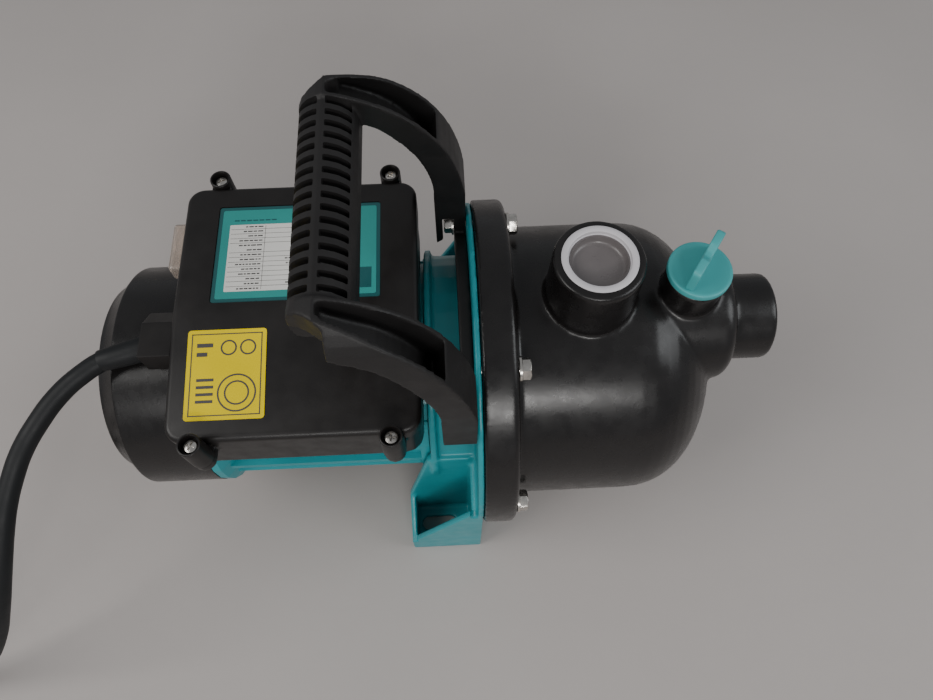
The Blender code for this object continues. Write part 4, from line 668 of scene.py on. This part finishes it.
def build_labels():
    """A ruled data plate and a plain yellow plate, both with marks that say nothing."""
    floor_z = LID_Z1 - LABEL_DEPTH
    plate = prism("data_plate",
                  rounded(LABEL_X0 + 2.2, LABEL_X1 - 2.2, LABEL_Y0 + 2.2, LABEL_Y1 - 2.2, 1.0),
                  floor_z + 0.05, floor_z + 0.3)
    finish_piece(plate, LABEL_TEAL)
    edge = prism("data_edge",
                 rounded(LABEL_X0 + 0.3, LABEL_X1 - 0.3, LABEL_Y0 + 0.3, LABEL_Y1 - 0.3, 1.2),
                 floor_z + 0.02, floor_z + 0.15)
    finish_piece(edge, LABEL_DARK)
    table_x0, table_x1 = LABEL_X0 + 6.2, LABEL_X0 + 56
    table_y0, table_y1 = LABEL_Y0 + 6.0, LABEL_Y0 + 44.5
    sheet = prism("data_table", rounded(table_x0, table_x1, table_y0, table_y1, 0.6),
                  floor_z + 0.3, floor_z + 0.4)
    finish_piece(sheet, PAPER)
    rules, words = [], []
    pitch = (table_y1 - table_y0) / TABLE_ROWS
    split = table_x0 + 0.36 * (table_x1 - table_x0)
    for row in range(1, TABLE_ROWS):
        y = table_y0 + row * pitch
        if row != BLANK_ROW:
            rules.append((table_x0 + 0.8, table_x1 - 0.8, y - 0.09, y + 0.09))
    rules.append((split - 0.09, split + 0.09, table_y0 + 0.8, table_y1 - 0.8))
    for row in range(TABLE_ROWS):
        y = table_y0 + (row + 0.5) * pitch
        for low, high in ((table_x0 + 3, split - 1.2), (split + 4, table_x1 - 2)):
            x = high
            while x > low + (high - low) * random.uniform(0.15, 0.6):
                width = random.uniform(0.9, 2.6)
                words.append((x - width, x, y - 0.34, y + 0.34))
                x -= width + 0.5
    strips("data_rules", rules, floor_z + 0.4, floor_z + 0.44, PRINT)
    strips("data_words", words, floor_z + 0.4, floor_z + 0.44, PRINT)
    head = [(table_x0 + 2 + 3.1 * i, table_x0 + 4.4 + 3.1 * i, table_y1 + 2.2, table_y1 + 2.9)
            for i in range(7)]
    head += [(LABEL_X1 - 14.5, LABEL_X1 - 4.5, LABEL_Y0 + 5.5, LABEL_Y0 + 17)]
    strips("data_marks", head, floor_z + MARK_LOW, floor_z + MARK_HIGH, LABEL_DARK)

    x0, x1, y0, y1, top = YELLOW_X0, YELLOW_X1, YELLOW_Y0, YELLOW_Y1, LID_Z1
    hinge = Vector((0, CREASE_Y, LID_Z1)) * MM
    tilt = Matrix.Translation(hinge) @ Matrix.Rotation(LID_SLOPE, 4, "X") @ Matrix.Translation(-hinge)
    plate = prism("yellow_plate", rounded(x0, x1, y0, y1, 1.6), top + 0.02, top + 0.3)
    plate.data.transform(tilt)
    finish_piece(plate, YELLOW)
    marks = frame_strips(x0 + 1.9, x1 - 1.9, y0 + 1.9, y1 - 1.9, 0.55)
    marks += [(x0 + 4.5, x0 + 12.0, y1 - 8.6, y1 - 6.6), (x0 + 4.5, x0 + 9.5, y1 - 13.0, y1 - 11.0)]
    marks += [(x0 + 5.0, x0 + 13.0, y0 + 8.0 + 3.4 * i, y0 + 9.4 + 3.4 * i) for i in range(4)]
    strips("yellow_marks", marks, top + MARK_LOW, top + MARK_HIGH, PRINT, tilt)
    rings = [(x1 - 8.5, y1 - 9.0, 3.4), (x1 - 17.5, y1 - 9.0, 3.4),
             (x1 - 13.0, y0 + 12.5, 8.6), (x1 - 13.0, y0 + 12.5, 5.4)]
    for i, (x, y, r) in enumerate(rings):
        low, high = top + MARK_LOW, top + MARK_HIGH
        ring = [(r - 0.4, low), (r + 0.4, low), (r + 0.4, high), (r - 0.4, high)]
        mark = lathe(f"yellow_ring_{i + 1}", ring, along_z(x, y), 48, True)
        mark.data.transform(tilt)
        finish_piece(mark, PRINT)


# ---- fan cover ---------------------------------------------------------------------------
def build_fan_cover():
    w, r, rear = COVER_WALL, COVER_R, COVER_X0
    profile = [(r, COVER_X1), (r, rear + 13.0)] + arc(r - 1.2, rear + 11.8, 1.2, 0, -40, 3)
    profile += [(r - 8.5, rear + 3.2)] + arc(r - 11.5, rear + 4.0, 4.0, -50, -90, 4)[1:]
    profile += [(0, rear), (0, rear + w), (r - 12, rear + w), (r - w - 5.5, rear + 6)]
    profile += [(r - w, rear + 14), (r - w, COVER_X1)]
    cover = lathe("fan_cover_skin", profile, along_x(), 128)
    work = bmesh.new()
    work.from_mesh(cover.data)
    loop = [e for e in work.edges if e.is_boundary]
    bmesh.ops.bridge_loops(work, edges=loop)
    bmesh.ops.recalc_face_normals(work, faces=work.faces)
    work.to_mesh(cover.data)
    work.free()
    slots = []
    for count, low, high in SLOT_RINGS:
        for i in range(count):
            turn = math.tau * (i + 0.5) / count
            outline = arc(0, high - 2, 2, 0, 180, 6) + arc(0, low + 2, 2, 180, 360, 6)
            slot = end_prism("slot", outline, rear - 5, rear + 5)
            slot.data.transform(Matrix.Translation((0, 0, AXIS_Z * MM)) @ Matrix.Rotation(turn, 4, "X"))
            slots.append(slot)
    cut(cover, *slots)
    finish_piece(cover, GLOSS, replaces=("fan_cover",), sharp=28)


# ---- handle ------------------------------------------------------------------------------
def bezier(p0, p1, p2, p3, count):
    points = []
    for i in range(count + 1):
        t = i / count
        weights = ((1 - t) ** 3, 3 * t * (1 - t) ** 2, 3 * t * t * (1 - t), t ** 3)
        points.append(tuple(sum(w * p[k] for w, p in zip(weights, (p0, p1, p2, p3))) for k in (0, 1)))
    return points


GRIP_SECTION = [(-51.8, 245), (-51.8, 250), (-51.4, 254), (-50.6, 257.5), (-49.2, 259.8), (-47, 261.6),
                (-44, 263.2), (-40.5, 264), (-37, 263.4), (-33, 261.6), (-30, 259), (-28, 256),
                (-26.8, 252), (-26.4, 247), (-26.6, 243), (-28, 239.8), (-31, 238.2), (-47, 238.2),
                (-50.6, 240.2)]
LEFT_GROOVE = [(-42.1, 275), (-60, 275), (-60, 241.5), (-47.9, 241.5), (-47.6, 250), (-46.9, 254.5),
               (-45, 257.6), (-42.1, 259.6)]
RIGHT_GROOVE = [(-38.9, 275), (-38.9, 259.4), (-34.8, 257.4), (-31.6, 254), (-29.6, 251), (-28.9, 252.5),
                (-28.9, 275)]


def leg(side, inset, low, high):
    """One arm seen along the shaft, drawn in by an inset: it leans outwards below the grip."""
    inner = [(ARM_LOW_Y0, low), *ARM_INSIDE, (ARM_Y0, high)]
    outer = [(ARM_OUTSIDE[0][0], low), *ARM_OUTSIDE, (52, high)]
    outline = [(side * (y + inset), z) for y, z in inner]
    outline += [(side * (y - inset), z) for y, z in reversed(outer)]
    return end_prism("leg", outline, -60, 30)


def corner_cut(side, wall):
    """What the rounded corner between grip and arm leaves out, grown by a wall."""
    outline = [(x + wall * (x > -50), side * (y - wall * (y < 80))) for x, y in CORNER_CUT]
    return prism("corner", outline, 200, 295)


def inside_leg(name, outline, side, inset, low, high):
    """A side outline kept between an arm's two leaning faces."""
    thing = side_prism(name, outline, *sorted((side * 40, side * 80)))
    return combine(thing, [leg(side, inset, low, high)], "INTERSECT")


def build_handle():
    outer, inner = bezier(*OUTER_CURVE, 18), bezier(*INNER_CURVE, 14)
    outline = [(-51.6, 250), (-51.3, 256), (-49.4, 260), (-46.4, 262.8), (-43, 264.6)] + outer
    outline += [(ARM_X1, ARM_FOOT_Z), (ARM_PLATE_X, ARM_FOOT_Z), (ARM_PLATE_X, 158), (ARM_X0, 150)]
    outline += inner + [(-37, 250.5)]
    upper = [(-39, 285)] + [(x, z + 12) for x, z in outer[1:12]] + [(6, 236)]
    upper += [(x, z + 2.8) for x, z in inner[4:]] + [(-37, 255.6), (-39, 257.5)]
    foot = [(-4, 120), (11.5, 120), (11.5, 190), (9, 204), (5.5, 207), (-4, 196)]
    handle = side_prism("handle_skin", GRIP_SECTION, -49, 49)
    arms, pockets = [], []
    for side in (-1, 1):
        arms.append(inside_leg("arm", outline, side, 0, 120, 270))
        pockets.append(cut(inside_leg("pocket", upper, side, ARM_WALL, 120, 290), corner_cut(side, ARM_WALL)))
        pockets.append(inside_leg("pocket", foot, side, ARM_WALL, 110, 270))
        screw_way = [(5.5, 125), (11.3, 125), (11.3, 172), (5.5, 172)]
        span = sorted((side * (ARM_Y0 - 3), side * (ARM_LOW_Y0 + ARM_WALL + 1)))
        pockets.append(side_prism("pocket", screw_way, *span))
        pockets.append(side_prism("trim", [(-10, 110), (25, 110), (25, ARM_END_Z), (-10, ARM_END_Z)],
                                  *sorted((side * 60, side * 82))))
        pockets.append(rod("hole", 2.8, 9, 30, along_x(side * HANDLE_SCREW_Y, HANDLE_SCREW_Z), 24))
        pockets.append(corner_cut(side, 0))
    yoke = [on_circle(YOKE_R1, a) for a in range(40, 141, 5)]
    yoke += [on_circle(YOKE_R0, a) for a in range(140, 39, -5)]
    arms.append(end_prism("yoke", yoke, ARM_PLATE_X, ARM_X1))
    pockets.append(rod("neck", NECK_R, -5, 30, along_x(), 96))
    join(handle, *arms)
    cut(handle, *pockets)
    soften(handle, 0.7, 2, 0.45)
    grooves = []
    for i in range(GROOVES):
        middle = (i - (GROOVES - 1) / 2) * GROOVE_PITCH + GROOVE_SHIFT
        for outline in (LEFT_GROOVE, RIGHT_GROOVE):
            groove = side_prism("groove", outline, middle - GROOVE_WIDTH / 2, middle + GROOVE_WIDTH / 2)
            grooves.append(edge_round(groove, 0.5, 2, 60))
    cut(handle, *grooves)
    finish_piece(handle, GRIP, replaces=("handle",), sharp=38)


# ---- what keeps its CAD shape ------------------------------------------------------------
KEPT = {
    TEAL: ("motor_housing",), GRIP: ("switch_body", "switch_rocker"),
    DARK_STEEL: ("shaft", "seal_rotating", "front_bearing_inner", "front_bearing_outer", "rear_bearing_inner",
                 "rear_bearing_outer", "tie_bolt_1", "tie_bolt_2", "tie_bolt_3", "tie_bolt_4"),
    IRON: ("stator_core", "rotor_core"), COPPER: ("stator_winding",), BRASS: ("impeller_nut", "nozzle"),
    ALUMINIUM: ("rear_end_shield",), CERAMIC: ("seal_seat",), PALE: ("capacitor", "terminal_block"),
    NORYL: ("backing_plate", "impeller", "diffuser", "venturi_tube", "ejector_housing", "fan"),
    RUBBER: ("body_o_ring", "fill_plug_o_ring", "drain_plug_o_ring", "box_gasket"),
}


def dress_cad():
    for material, names in KEPT.items():
        for name in names:
            nodes[name].data.materials.clear()
            nodes[name].data.materials.append(material)


build_camera()
build_stage()
dress_cad()
build_cord()
build_pump_body()
build_bolts()
build_plug("fill_plug", along_z(FILL_X), FILL_Z, FILL_WING_TURN, "fill_plug_turning")
build_plug("drain_plug", along_x(0, DRAIN_Z), DRAIN_X, DRAIN_WING_TURN, "drain_plug_turning")
build_cap("outlet_cap", along_z(OUTLET_X), OUTLET_Z, "outlet_cap_body")
build_cap("inlet_cap", along_x(0, NOSE_Z), INLET_X, "inlet_cap_body")
build_lid()
build_labels()
build_fan_cover()
build_handle()
moulded("bracket", TEAL, 0.9, 3, 0.4)
moulded("terminal_box_base", BOX, 0.8, 3, 0.35)
moulded("cable_gland", BOX, 0.5, 3, 0.5)
moulded("switch_boot", BOOT, 0.5, 2, 0.5)
moulded("rear_support", GLOSS, 1.2, 3, 0.4)
